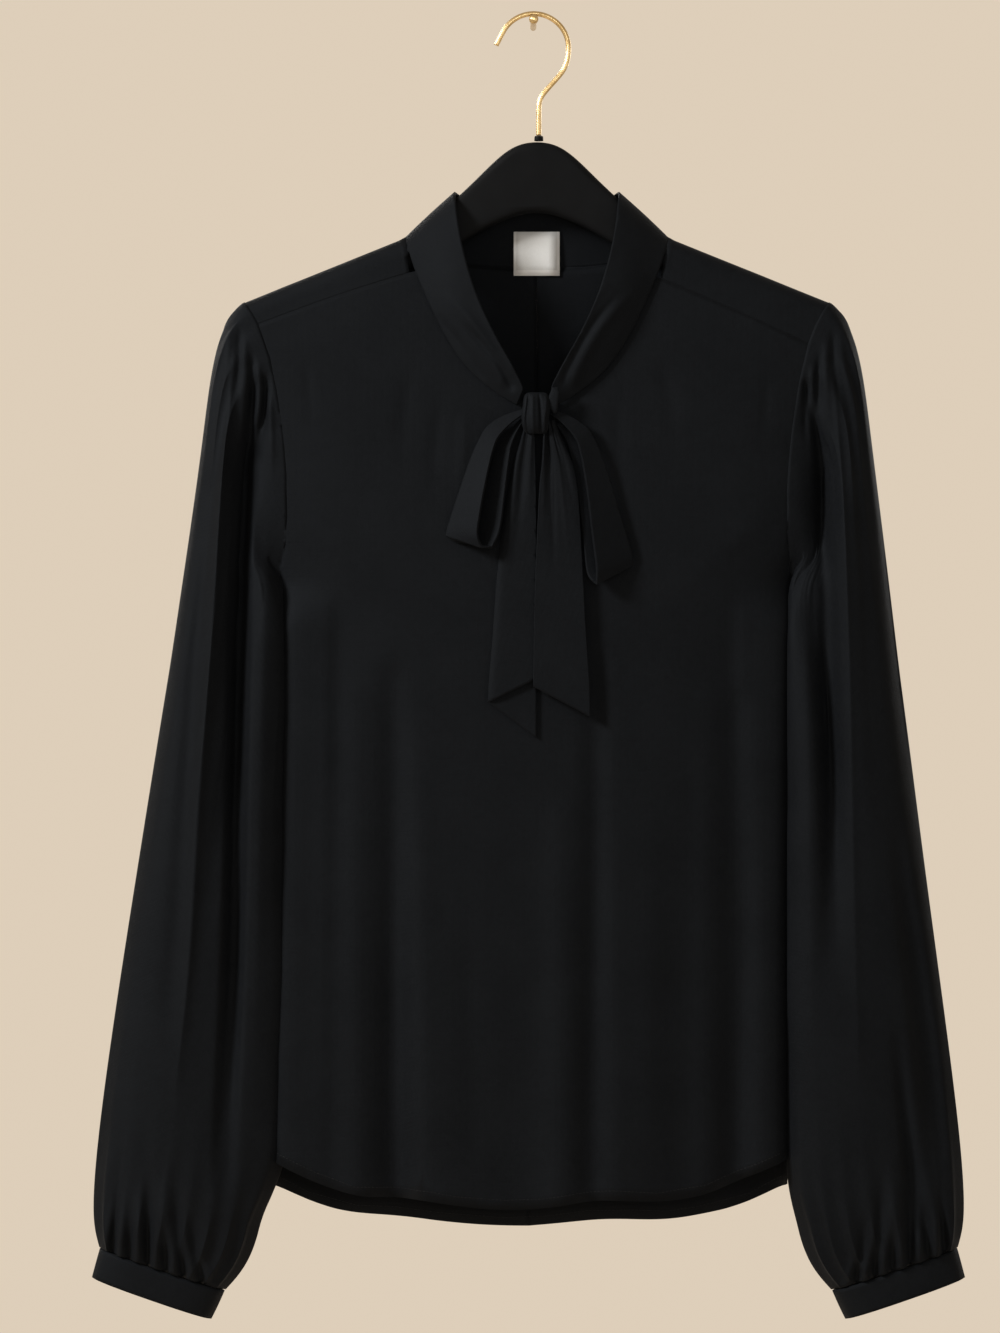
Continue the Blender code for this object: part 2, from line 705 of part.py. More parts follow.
# The left end of the tie hangs folded in two along its left edge; the cut runs right across it
TAIL_LEFT = table(
    "z fold free off",
    (-295.8, -10.6, -2.6, 7.8),
    (-306.0, -13.4, -1.6, 5.9),
    (-327.0, -18.2, -0.8, 5.2),
    (-355.0, -22.6, -0.4, 5.0),
    (-395.0, -27.3, -0.2, 4.9),
    (-439.0, -30.3, -0.5, 4.8),
    (-474.0, -33.6, -1.0, 4.8),
)
TAIL_LEFT_ENDS = {"front": -466.5, "fold": -482.5, "back": -507.5}
TAIL_RIGHT = table(
    "z left right off",
    (-296.0, 8.2, 17.5, 9.4),
    (-306.0, 5.6, 23.4, 8.8),
    (-318.0, 2.8, 25.6, 8.2),
    (-332.0, 1.6, 28.0, 7.8),
    (-350.0, 0.7, 29.4, 7.5),
    (-386.0, -1.0, 31.5, 7.2),
    (-439.0, -2.4, 34.3, 7.0),
    (-471.5, -2.8, 36.8, 7.0),
)
TAIL_RIGHT_ENDS = {"left": -471.5, "right": -492.5}
TAIL_ROWS = 11
LAYER_GAP = 2.9
PLEATS_RIGHT = 2.5


def make_tail_left(frame):
    """A flattened, folded ribbon: its front leaf, the fold at its left, and its back leaf."""
    top = TAIL_LEFT["z"][0]
    # Each column: how far from the fold, which leaf it is on, and how deep within the fold
    columns = (
        (1.0, "front", 0.0),
        (0.66, "front", 0.0),
        (0.33, "front", 0.0),
        (0.06, "front", 0.12),
        (0.0, "fold", 0.5),
        (0.06, "back", 0.88),
        (0.33, "back", 1.0),
        (0.66, "back", 1.0),
        (1.02, "back", 1.0),
    )
    ends = TAIL_LEFT_ENDS
    grid = []
    for share, leaf, turn in columns:
        foot = ends["fold"] + (ends[leaf] - ends["fold"]) * min(share, 1)
        column = []
        for part in np.linspace(0, 1, TAIL_ROWS):
            z = top + (foot - top) * part
            fold = float(through(TAIL_LEFT["z"], TAIL_LEFT["fold"], z))
            free = float(through(TAIL_LEFT["z"], TAIL_LEFT["free"], z))
            off = float(through(TAIL_LEFT["z"], TAIL_LEFT["off"], z)) - LAYER_GAP * turn
            column.append(off_front(fold + (free - fold) * share, z, off))
        grid.append(column)
    wall("tail_left", grid, DOUBLE_CLOTH, BLACK_CREPE, frame)


def make_tail_right(frame):
    top = TAIL_RIGHT["z"][0]
    grid = []
    for share in np.linspace(0, 1, 9):
        foot = TAIL_RIGHT_ENDS["left"] + (TAIL_RIGHT_ENDS["right"] - TAIL_RIGHT_ENDS["left"]) * share
        column = []
        for part in np.linspace(0, 1, TAIL_ROWS):
            z = top + (foot - top) * part
            left = float(through(TAIL_RIGHT["z"], TAIL_RIGHT["left"], z))
            right = float(through(TAIL_RIGHT["z"], TAIL_RIGHT["right"], z))
            off = float(through(TAIL_RIGHT["z"], TAIL_RIGHT["off"], z))
            pleat = 1.3 * (1 - ease((top - z) / 90)) * math.cos(2 * math.pi * PLEATS_RIGHT * share)
            column.append(off_front(left + (right - left) * share, z, off + pleat))
        grid.append(column)
    wall("tail_right", grid, DOUBLE_CLOTH, BLACK_CREPE, frame)


# The knot: a wrap of the tie round the collar's ends, and the end tucked in at its right
KNOT = table(
    "z x half_wide half_deep off",
    (-266.4, -1.2, 5.8, 2.8, 10.2),
    (-267.6, -1.2, 8.2, 4.8, 10.2),
    (-271.0, -1.2, 9.6, 6.2, 10.3),
    (-276.5, -1.0, 9.9, 6.9, 10.5),
    (-283.0, -0.6, 9.8, 7.0, 10.6),
    (-289.0, -0.4, 9.4, 6.4, 10.4),
    (-293.0, -0.4, 8.6, 5.0, 10.0),
    (-295.2, -0.4, 6.4, 3.0, 9.8),
)
KNOT_TUCK = table(
    "z x half_wide half_deep off",
    (-262.9, 12.4, 1.8, 1.0, 12.4),
    (-264.2, 12.5, 2.8, 2.0, 12.5),
    (-268.5, 12.6, 3.4, 2.8, 12.4),
    (-274.0, 12.6, 3.2, 3.0, 12.2),
    (-278.5, 12.2, 2.3, 2.2, 12.0),
    (-281.2, 12.0, 1.2, 1.2, 11.6),
)
KNOT_AROUND = 20
KNOT_CORNER = 3.0


def make_knot(name, rows, frame):
    angle = np.linspace(0, 2 * math.pi, KNOT_AROUND, endpoint=False)
    rings = []
    for z, x, half_wide, half_deep, off in zip(*rows.values()):
        across = np.sign(np.cos(angle)) * np.abs(np.cos(angle)) ** (2 / KNOT_CORNER)
        deep = np.sign(np.sin(angle)) * np.abs(np.sin(angle)) ** (2 / KNOT_CORNER)
        centre = off_front(x, z, off)
        rings.append(
            np.stack(
                [centre[0] + half_wide * across, centre[1] + half_deep * deep, np.full(len(angle), z)],
                axis=-1,
            )
        )
    lump(name, rings, BLACK_CREPE, frame)


# The woven label on the inside of the neck
LABEL = {"wide": 32.5, "top": -150.5, "foot": -181.5, "thick": 0.8, "top_y": 12.2, "foot_y": 13.3}


def make_label(frame):
    rows = []
    for part in np.linspace(0, 1, 3):
        z = LABEL["top"] + (LABEL["foot"] - LABEL["top"]) * part
        y = LABEL["top_y"] + (LABEL["foot_y"] - LABEL["top_y"]) * part
        rows.append([(x, y, z) for x in np.linspace(-LABEL["wide"] / 2, LABEL["wide"] / 2, 3)])
    wall("neck_label", rows, LABEL["thick"], LABEL_WHITE, frame)


# The hanger's outline on one side: its upper edge from the middle, then back along its lower edge
HANGER_TOP = table(
    "x z",
    (0, -88.2),
    (10, -89.2),
    (20, -93.6),
    (31, -103),
    (42, -114.2),
    (54, -125.6),
    (64, -134.6),
    (78, -147.0),
    (90, -157.6),
    (98, -161.4),
    (140, -176.6),
    (192, -197.6),
)
HANGER_FOOT = table(
    "x z",
    (197, -204.0),
    (193, -209.6),
    (140, -196),
    (92, -179.6),
    (74, -172.4),
    (54, -161.2),
    (40, -152.2),
    (26, -145.1),
    (13, -139.8),
    (0, -138.0),
)


def make_hanger(frame):
    half = list(zip(HANGER_TOP["x"], HANGER_TOP["z"])) + list(zip(HANGER_FOOT["x"], HANGER_FOOT["z"]))
    outline = half + [(-x, z) for x, z in reversed(half[1:-1])]
    count = len(outline)
    points = [(x, -HANGER_THICK / 2, z) for x, z in outline] + [(x, HANGER_THICK / 2, z) for x, z in outline]
    faces = [tuple(range(count)), tuple(reversed(range(count, 2 * count)))]
    faces += [(i, i + count, (i + 1) % count + count, (i + 1) % count) for i in range(count)]
    hanger = mesh_object("hanger", points, faces, BLACK_HANGER, frame)
    bevel = hanger.modifiers.new("rounded edges", "BEVEL")
    bevel.width = HANGER_EDGE * MM
    bevel.segments = 2
    bevel.limit_method = "ANGLE"
    bevel.angle_limit = math.radians(70)
    bevel.use_clamp_overlap = True


def turned(name, profile, colour, frame, centre, facets=14):
    """A round piece along y, from (y, radius) pairs in order towards the wall."""
    angle = np.linspace(0, 2 * math.pi, facets, endpoint=False)
    rings = []
    for y, radius in profile:
        ring = np.stack([radius * np.cos(angle), np.full(facets, y), radius * np.sin(angle)], axis=-1)
        rings.append(ring + np.array(centre))
    return lump(name, rings, colour, frame)


# The hook below its round bend: the wire's way back to the stem
HOOK_TAIL = table(
    "x z",
    (21.4, -31.6),
    (18.6, -38.2),
    (12.9, -45.0),
    (7.2, -51.4),
    (3.5, -56.0),
    (1.8, -60.0),
    (1.4, -66.0),
    (1.4, -83.9),
)
HOOK_TIP = (-28.6, -20.4)


def make_hook(frame):
    centre = np.array([PEG_X, -(HOOK_BEND_RADIUS - WIRE / 2)])
    bend = [
        centre + HOOK_BEND_RADIUS * np.array([math.cos(math.radians(a)), math.sin(math.radians(a))])
        for a in range(160, -11, -17)
    ]
    route = [HOOK_TIP] + [tuple(p) for p in bend] + list(zip(HOOK_TAIL["x"], HOOK_TAIL["z"]))
    line = spline([(x, 0, z) for x, z in route], HOOK_POINTS)
    curve = bpy.data.curves.new("hook", "CURVE")
    curve.dimensions = "3D"
    curve.bevel_depth = WIRE / 2 * MM
    curve.bevel_resolution = HOOK_FACETS // 4
    curve.use_fill_caps = True
    strand = curve.splines.new("POLY")
    strand.points.add(len(line) - 1)
    for point, place in zip(strand.points, line):
        point.co = (*(place * MM), 1)
    hook = bpy.data.objects.new("hook", curve)
    bpy.context.scene.collection.objects.link(hook)
    hook.parent = frame
    finish(hook, BRASS)


def make_ferrule(frame):
    angle = np.linspace(0, 2 * math.pi, 14, endpoint=False)
    rings = []
    for z, radius in ((-84.3, 2.9), (-84.8, FERRULE_RADIUS), (-87.7, FERRULE_RADIUS)):
        rings.append(np.stack([1.4 + radius * np.cos(angle), radius * np.sin(angle), np.full(14, z)], axis=-1))
    lump("hanger_ferrule", rings, BLACK_HANGER, frame)


def make_peg(frame):
    """The wall peg: a brass pin with a rounded knob in front of the hook's wire."""
    knob_back = -WIRE / 2 - 0.4
    profile = [(HANG_OUT, PEG_RADIUS), (knob_back, PEG_RADIUS), (knob_back - 0.3, PEG_KNOB_RADIUS * 0.94)]
    for turn in (20, 50, 75):
        y = knob_back - 1.2 - 2.6 * math.sin(math.radians(turn))
        profile.append((y, PEG_KNOB_RADIUS * math.cos(math.radians(turn))))
    centre = (PEG_X, 0, -PEG_RADIUS - SEAM_GAP)
    turned("wall_peg", profile, BRASS, frame, centre)


def main():
    for obj in list(bpy.data.objects):
        bpy.data.objects.remove(obj)
    frame = bpy.data.objects.new("hanging_frame", None)
    frame.location = (-PEG_X * MM, -HANG_OUT * MM, (PEG_RADIUS + SEAM_GAP) * MM)
    bpy.context.scene.collection.objects.link(frame)
    make_front(frame)
    for side in ("left", "right"):
        make_back(side, frame)
        make_sleeve(side, frame)
        make_cuff(side, frame)
    make_collar(frame)
    make_bow("left", BOW_LEFT, frame)
    make_bow("right", BOW_RIGHT, frame)
    make_tail_left(frame)
    make_tail_right(frame)
    make_knot("tie_knot", KNOT, frame)
    make_knot("tie_knot_tuck", KNOT_TUCK, frame)
    make_label(frame)
    make_hanger(frame)
    make_ferrule(frame)
    make_hook(frame)
    make_peg(frame)


main()
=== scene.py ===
"""A black crepe tie neck blouse on a shaped hanger, hung from a brass wall peg."""

import math

import bmesh
import bpy
import numpy as np
from mathutils import Matrix, Vector
from mathutils.bvhtree import BVHTree


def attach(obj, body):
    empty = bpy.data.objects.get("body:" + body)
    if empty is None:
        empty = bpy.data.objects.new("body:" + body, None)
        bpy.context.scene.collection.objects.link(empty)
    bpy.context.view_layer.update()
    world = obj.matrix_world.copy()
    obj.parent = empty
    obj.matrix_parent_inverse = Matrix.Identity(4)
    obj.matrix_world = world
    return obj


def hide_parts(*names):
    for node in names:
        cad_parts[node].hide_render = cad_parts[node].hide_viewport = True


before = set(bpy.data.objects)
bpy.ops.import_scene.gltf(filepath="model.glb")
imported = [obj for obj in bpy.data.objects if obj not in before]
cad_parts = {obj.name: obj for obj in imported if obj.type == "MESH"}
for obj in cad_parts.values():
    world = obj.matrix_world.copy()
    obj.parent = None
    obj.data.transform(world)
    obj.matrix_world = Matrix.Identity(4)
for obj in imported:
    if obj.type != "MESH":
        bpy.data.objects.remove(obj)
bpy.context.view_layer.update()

# The wall peg: a turned brass pin with a rounded knob, driven into the wall, which the hanger's
# hook rests on. The metal is satin, with faint turning marks round it and a little tarnish.


class Strand:
    """One socket on its way through a material, so that sums of fields are written as sums."""

    def __init__(self, finish, socket):
        self.finish, self.socket = finish, socket

    def with_other(self, operation, first, second=None):
        values = {0: first} if second is None else {0: first, 1: second}
        return self.finish.node("ShaderNodeMath", {"operation": operation}, values)

    def __add__(self, other):
        return self.with_other("ADD", self, other)

    def __radd__(self, other):
        return self.with_other("ADD", other, self)

    def __sub__(self, other):
        return self.with_other("SUBTRACT", self, other)

    def __rsub__(self, other):
        return self.with_other("SUBTRACT", other, self)

    def __mul__(self, other):
        return self.with_other("MULTIPLY", self, other)

    def __rmul__(self, other):
        return self.with_other("MULTIPLY", other, self)

    def sine(self):
        return self.with_other("SINE", self)

    def size(self):
        return self.with_other("ABSOLUTE", self)

    def between(self, low, high):
        """0 below low and 1 above high, with a soft step."""
        settings = {"interpolation_type": "SMOOTHSTEP"}
        values = {"Value": self, "From Min": low, "From Max": high}
        return self.finish.node("ShaderNodeMapRange", settings, values)


class Finish:
    """A material of one of the blouse's stuffs, built on a Principled shader."""

    def __init__(self, name, **fixed):
        self.material = bpy.data.materials.new(name)
        self.material.use_nodes = True
        self.tree = self.material.node_tree
        self.shader = self.tree.nodes["Principled BSDF"]
        for socket, value in fixed.items():
            self.shader.inputs[socket.replace("_", " ")].default_value = value

    def node(self, kind, settings, values, output=0):
        node = self.tree.nodes.new(kind)
        for key, value in settings.items():
            setattr(node, key, value)
        for key, value in values.items():
            if isinstance(value, Strand):
                self.tree.links.new(value.socket, node.inputs[key])
            else:
                node.inputs[key].default_value = value
        return Strand(self, node.outputs[output])

    def place(self):
        """Object coordinates, whole and as x, y and z."""
        whole = self.node("ShaderNodeTexCoord", {}, {}, "Object")
        split = self.node("ShaderNodeSeparateXYZ", {}, {"Vector": whole})
        axes = [Strand(self, split.socket.node.outputs[k]) for k in range(3)]
        return whole, *axes

    def cloudy(self, vector, scale, detail=2.0, rough=0.5):
        values = {"Vector": vector, "Scale": scale, "Detail": detail, "Roughness": rough}
        return self.node("ShaderNodeTexNoise", {}, values, "Fac")

    def mixed(self, amount, first, second):
        settings = {"data_type": "RGBA"}
        return self.node("ShaderNodeMix", settings, {"Factor": amount, 6: first, 7: second}, 2)

    def raised(self, height, distance, strength=1.0):
        values = {"Height": height, "Distance": distance, "Strength": strength}
        return self.node("ShaderNodeBump", {}, values)

    def feed(self, **strands):
        for socket, strand in strands.items():
            self.tree.links.new(strand.socket, self.shader.inputs[socket.replace("_", " ")])
        return self.material


def satin_brass(name, along):
    """Pale brass with fine marks across the axis it was drawn or turned along."""
    finish = Finish(name, Metallic=1.0, Coat_Weight=0.15, Coat_Roughness=0.3)
    whole, *axes = finish.place()
    marks = (axes[along] * 5200).sine() * 0.5 + 0.5
    tarnish = finish.cloudy(whole, 160, 4, 0.6).between(0.42, 0.72)
    brass = finish.mixed(tarnish, (0.52, 0.38, 0.185, 1), (0.38, 0.26, 0.11, 1))
    rough = 0.24 + tarnish * 0.14 + marks * 0.04
    bump = finish.raised(marks + finish.cloudy(whole, 900, 2) * 2, 0.00002)
    return finish.feed(Base_Color=brass, Roughness=rough, Normal=bump)


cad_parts["wall_peg"].data.materials.clear()
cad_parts["wall_peg"].data.materials.append(satin_brass("turned brass", 1))

# The hook: one length of brass wire, bent round and back to its stem, with a cut end. It keeps
# the solid's path and is drawn finer, with the wire's round section.
scene = bpy.context.scene
CALMING_ROUNDS = 14
SAME_LEVEL = 0.003
FLAT_ENOUGH = math.radians(38)
SQUARE_ENOUGH = math.radians(75)
SHARP_EDGE = math.radians(48)


def finer(node, name, levels, keep_edges=math.radians(50), calmed=None):
    """A finer piece on a node's own form: its triangles rejoined, then smoothed between edges.
    calmed gives two heights, in metres, between which small ripples are evened out first."""
    shape = bmesh.new()
    shape.from_mesh(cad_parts[node].data)
    bmesh.ops.remove_doubles(shape, verts=shape.verts, dist=0.00001)
    for _ in range(CALMING_ROUNDS if calmed else 0):
        evened = {}
        for vert in shape.verts:
            if calmed[0] < vert.co.z < calmed[1]:
                sides = [edge.other_vert(vert).co for edge in vert.link_edges]
                level = [co.y for co in sides if abs(co.z - vert.co.z) < SAME_LEVEL]
                if len(level) == 2:
                    evened[vert] = sum(level) / 4 + vert.co.y / 2
        for vert, y in evened.items():
            vert.co.y = y
    bmesh.ops.join_triangles(
        shape,
        faces=shape.faces,
        angle_face_threshold=FLAT_ENOUGH,
        angle_shape_threshold=SQUARE_ENOUGH,
    )
    held = shape.edges.layers.float.new("crease_edge")
    for edge in shape.edges:
        if len(edge.link_faces) == 2 and edge.calc_face_angle() > keep_edges:
            edge[held] = 1.0
    mesh = bpy.data.meshes.new(name)
    shape.to_mesh(mesh)
    shape.free()
    piece = bpy.data.objects.new(name, mesh)
    scene.collection.objects.link(piece)
    if levels:
        smooth = piece.modifiers.new("smoothed", "SUBSURF")
        smooth.levels = smooth.render_levels = levels
        bpy.context.view_layer.update()
        seen = piece.evaluated_get(bpy.context.evaluated_depsgraph_get())
        piece.modifiers.clear()
        fine = bpy.data.meshes.new_from_object(seen)
        piece.modifiers.clear()
        piece.data = fine
        fine.name = name
    piece.data.shade_smooth()
    piece.data.set_sharp_from_angle(angle=SHARP_EDGE)
    return piece


def hang(piece, node, material):
    """The finished piece takes its node's place on the blouse."""
    piece.data.materials.clear()
    piece.data.materials.append(material)
    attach(piece, "root")
    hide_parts(node)
    return piece


hook_wire = finer("hook", "hook_wire", 2)
hang(hook_wire, "hook", satin_brass("drawn brass", 2))

# The hanger: a shaped board with soft edges, lacquered matte black, and the small ferrule where
# the hook is screwed in. The lacquer is very slightly uneven in colour and gloss.


def matte_lacquer(name):
    """Matte black lacquer, faintly uneven."""
    finish = Finish(name, Specular_IOR_Level=0.05)
    whole = finish.place()[0]
    uneven = finish.cloudy(whole, 60, 3, 0.55)
    grain = finish.cloudy(whole, 1500, 3, 0.6)
    colour = finish.mixed(uneven, (0.0012, 0.0014, 0.0017, 1), (0.0027, 0.0030, 0.0035, 1))
    rough = 0.5 + uneven * 0.14 + grain * 0.06
    bump = finish.raised(grain + uneven * 4, 0.00004)
    return finish.feed(Base_Color=colour, Roughness=rough, Normal=bump)


lacquer = matte_lacquer("matte black lacquer")
for node in ("hanger", "hanger_ferrule"):
    hang(finer(node, f"{node}_lacquered", 2, math.radians(60)), node, lacquer)

# The back: two halves of black crepe joined by a plain centre seam, cut to wrap over the
# shoulders to the front. Its hem dips below the front's and is turned up narrow and stitched.


def crepe(name, turn=0.0):
    """Black crepe: a fine pebbled weave with a low, cool sheen and faint uneven shading."""
    finish = Finish(
        name,
        Specular_IOR_Level=0.055,
        Specular_Tint=(0.78, 0.88, 1.0, 1),
        Sheen_Weight=0.008,
        Sheen_Roughness=0.45,
        Sheen_Tint=(0.80, 0.88, 1.0, 1),
    )
    whole, x, _, z = finish.place()
    across = x * math.cos(turn) + z * math.sin(turn)
    down = z * math.cos(turn) - x * math.sin(turn)
    warp = (across * 7600 + finish.cloudy(whole, 420, 2) * 5).sine()
    weft = (down * 6900 + finish.cloudy(whole, 380, 2) * 5).sine()
    pebble = finish.cloudy(whole, 1450, 3, 0.65)
    shade = finish.cloudy(whole, 26, 3, 0.5)
    slub = finish.cloudy(whole, 240, 3, 0.6)
    tone = (shade * 0.22 + slub * 0.25 + pebble * 0.45).between(0.22, 0.68)
    colour = finish.mixed(tone, (0.0008, 0.0009, 0.0012, 1), (0.0027, 0.0031, 0.0038, 1))
    rough = 0.56 + slub * 0.1 + pebble * 0.1
    bump = finish.raised(pebble * 1.6 + warp * 0.22 + weft * 0.22 + slub * 0.9, 0.00016, 0.8)
    return finish.feed(Base_Color=colour, Roughness=rough, Normal=bump)


def table(names, *rows):
    """Columns of a table by name, each an array with a value for every row."""
    return dict(zip(names.split(), np.array(rows, float).T))


def ease(t):
    t = np.clip(t, 0, 1)
    return t * t * (3 - 2 * t)


def creased(x, z, rows):
    """How far creases stand out, in mm: each runs from its top to its foot with a bow, and
    fades at both ends by its own share; a minus height is a trough."""
    out = np.zeros(len(x))
    for x0, z0, x1, z1, bow, width, height, fade0, fade1 in zip(*rows.values()):
        run = np.array([x1 - x0, z1 - z0])
        length = np.hypot(*run)
        along = ((x - x0) * run[0] + (z - z0) * run[1]) / length**2
        aside = ((x - x0) * run[1] - (z - z0) * run[0]) / length
        aside = aside - bow * 4 * np.clip(along, 0, 1) * (1 - np.clip(along, 0, 1))
        spread = width * (0.72 + 0.28 * np.clip(along, 0, 1))
        ends = ease(along / fade0) * ease((1 - along) / fade1)
        out = out + height * ends * np.exp(-np.abs(aside / spread) ** 1.8)
    return out


def through(at, points, values):
    """A smooth curve through values that belong to rising points."""
    points, values = np.array(points, float), np.array(values, float)
    slope = np.gradient(values, points)
    k = np.clip(np.searchsorted(points, at) - 1, 0, len(points) - 2)
    span = points[k + 1] - points[k]
    t = np.clip((at - points[k]) / span, 0, 1)
    keep, lead = (1 + 2 * t) * (1 - t) ** 2, t * (1 - t) ** 2
    go, trail = t * t * (3 - 2 * t), t * t * (t - 1)
    return (
        values[k] * keep + slope[k] * span * lead + values[k + 1] * go + slope[k + 1] * span * trail
    )


def folded(x, z, fold):
    """One long fold along a drawn line, in mm: its rows give z, x, half width and height from
    the foot up; it fades past both ends. A sharper fold has straighter sides."""
    z_rows, x_rows, wide, high = (fold[key] for key in ("z", "x", "wide", "high"))
    within = ease((z - z_rows[0]) / 30 + 1) * ease((z_rows[-1] - z) / 12 + 1)
    aside = np.abs(x - through(z, z_rows, x_rows)) / through(z, z_rows, wide)
    return within * through(z, z_rows, high) * np.exp(-(aside ** fold["power"][0]))


MM = 0.001


def points_of(piece):
    """A piece's points in millimetres."""
    flat = np.empty(len(piece.data.vertices) * 3)
    piece.data.vertices.foreach_get("co", flat)
    return flat.reshape(-1, 3) / MM


def pressed(piece, moved):
    """Sets a piece's points, given in millimetres."""
    piece.data.vertices.foreach_set("co", (moved * MM).ravel())
    piece.data.update()


def surface_of(*names):
    """The surfaces of some of the blouse's solids, for measuring to."""
    shape = bmesh.new()
    for name in names:
        shape.from_mesh(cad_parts[name].data)
    surface = BVHTree.FromBMesh(shape)
    shape.free()
    return surface


# How far past its reach a seam still pulls, in mm, and two very small gaps, in metres
SEAM_EASE = 0.4
TOUCHING = 0.00002
SEAM_CLEAR = 0.00001


def sewn_to(at, surface, reach):
    """Draws the points that are within reach of the piece it is sewn to, in mm, up to it; the
    pull eases off just beyond."""
    for k, point in enumerate(at):
        near, _, _, gap = surface.find_nearest(Vector(point * MM), (reach + SEAM_EASE) * MM)
        if near is not None and gap > TOUCHING:
            pull = float(ease((reach + SEAM_EASE - gap / MM) / SEAM_EASE))
            at[k] = point + (np.array(near) / MM - point) * (1 - SEAM_CLEAR / gap) * pull
    return at


UNDERARM = {"x": 180, "z": -400, "half_wide": 12, "half_high": 14, "reach": 3.2}


def sewn_at_underarm(at, surface):
    """The same where four seams meet under the arm, over a little more."""
    near = np.abs(at[:, 2] - UNDERARM["z"]) < UNDERARM["half_high"]
    near = near & (np.abs(np.abs(at[:, 0]) - UNDERARM["x"]) < UNDERARM["half_wide"])
    at[near] = sewn_to(at[near], surface, UNDERARM["reach"])
    return at


CREASES = "x0 z0 x1 z1 bow width height fade0 fade1"
BACK_CREASES = table(
    CREASES,
    (-150, -330, -132, -838, 6, 16, 2.2, 0.3, 0.2),
    (-104, -420, -98, -842, -5, 12, -2.4, 0.35, 0.2),
    (-58, -300, -70, -846, 8, 18, 1.8, 0.4, 0.2),
    (-20, -560, -14, -850, 3, 11, -1.6, 0.4, 0.2),
    (24, -250, 36, -848, -6, 20, 2.0, 0.4, 0.2),
    (78, -470, 70, -846, 4, 12, -2.4, 0.35, 0.2),
    (118, -380, 104, -842, -5, 15, 1.8, 0.35, 0.2),
    (154, -330, 142, -832, -4, 13, -1.8, 0.3, 0.2),
    (-60, -196, -148, -300, 7, 9, 0.9, 0.4, 0.5),
    (64, -194, 150, -292, -7, 9, 0.9, 0.4, 0.5),
    (-165, -400, -60, -470, 8, 12, 0.8, 0.4, 0.5),
    (168, -404, 70, -468, -8, 12, 0.8, 0.4, 0.5),
)
BACK_HEM = table(
    "x z",
    (-183, -819),
    (-157, -833),
    (-122, -843),
    (-94, -844),
    (-63, -848),
    (-17, -852),
    (13, -851),
    (41, -847),
    (72, -846),
    (97, -847),
    (120, -844),
    (157, -834),
    (183, -819),
)
HEM_DEEP = 7.5
HEM_THICK = 0.35
MIDDLE = table("z x", (-920, -3.8), (-760, -3.2), (-620, -2.2), (-480, 0.2), (-330, 2.2), (-200, 2.2))


def above_hem(x, z, hem):
    """Height over the hem line, which hangs a little to the left."""
    return z - np.interp(x - np.interp(z, MIDDLE["z"], MIDDLE["x"]), hem["x"], hem["z"])


BODY_MIDDLE_Y = -42
BODY_HALF_DEEP = 22
SIDE_SEAM = 182.6
SIDE_TURN = 132
SIDE_FLAT_TO = 148
BELOW_ARMHOLE = -392
CLOTH_WALL = 1.2


def normals_of(piece):
    """The directions that a piece's points face."""
    flat = np.empty(len(piece.data.vertices) * 3)
    piece.data.vertices.foreach_get("normal", flat)
    return flat.reshape(-1, 3)


def fuller_side(piece, at, swayed, face):
    """How far the cloth stands out so that it turns in only in the last centimetre or so
    before the side seam, where the sleeve hangs against it."""
    y, z = at[:, 1], at[:, 2]
    depth = (y - BODY_MIDDLE_Y) * face
    levels = np.arange(-806.0, -380.0, 20.0)
    flat_part = (np.abs(swayed) > SIDE_TURN) & (np.abs(swayed) < SIDE_FLAT_TO)
    full = [depth[flat_part & (np.abs(z - level) < 16)].max() for level in levels]
    turn = np.clip((np.abs(swayed) - SIDE_TURN) / (SIDE_SEAM - SIDE_TURN), 0, 1)
    wanted = np.interp(z, levels, full) * (1 - turn**7) ** 0.5
    normal = normals_of(piece)
    inside = normal[:, 1] * face + normal[:, 0] * np.sign(swayed) * (turn > 0.5)
    inside = ease((0.25 - inside) / 0.5)
    wanted = np.maximum(wanted - CLOTH_WALL * inside, 0)
    return np.maximum(wanted - depth, 0) * ease((BELOW_ARMHOLE - z) / 36) * ease(turn / 0.3)


# Room in mm, and how far ahead it is looked for, in metres
AMPLE_ROOM = 99.0
LOOK_AHEAD = 0.012
ROOM_LEFT = 0.25


def room_under(at, surface, face):
    """How far each point can stand out before it meets what lies on the panel."""
    out = np.full(len(at), AMPLE_ROOM)
    ahead = Vector((0, face, 0))
    for k, point in enumerate(at):
        met = surface.ray_cast(Vector(point * MM) + ahead * TOUCHING, ahead, LOOK_AHEAD)
        if met[0] is not None:
            out[k] = max(met[3] / MM - ROOM_LEFT, -0.2)
    return out


CREASES_END_X = 186
CREASES_END_Z = -190


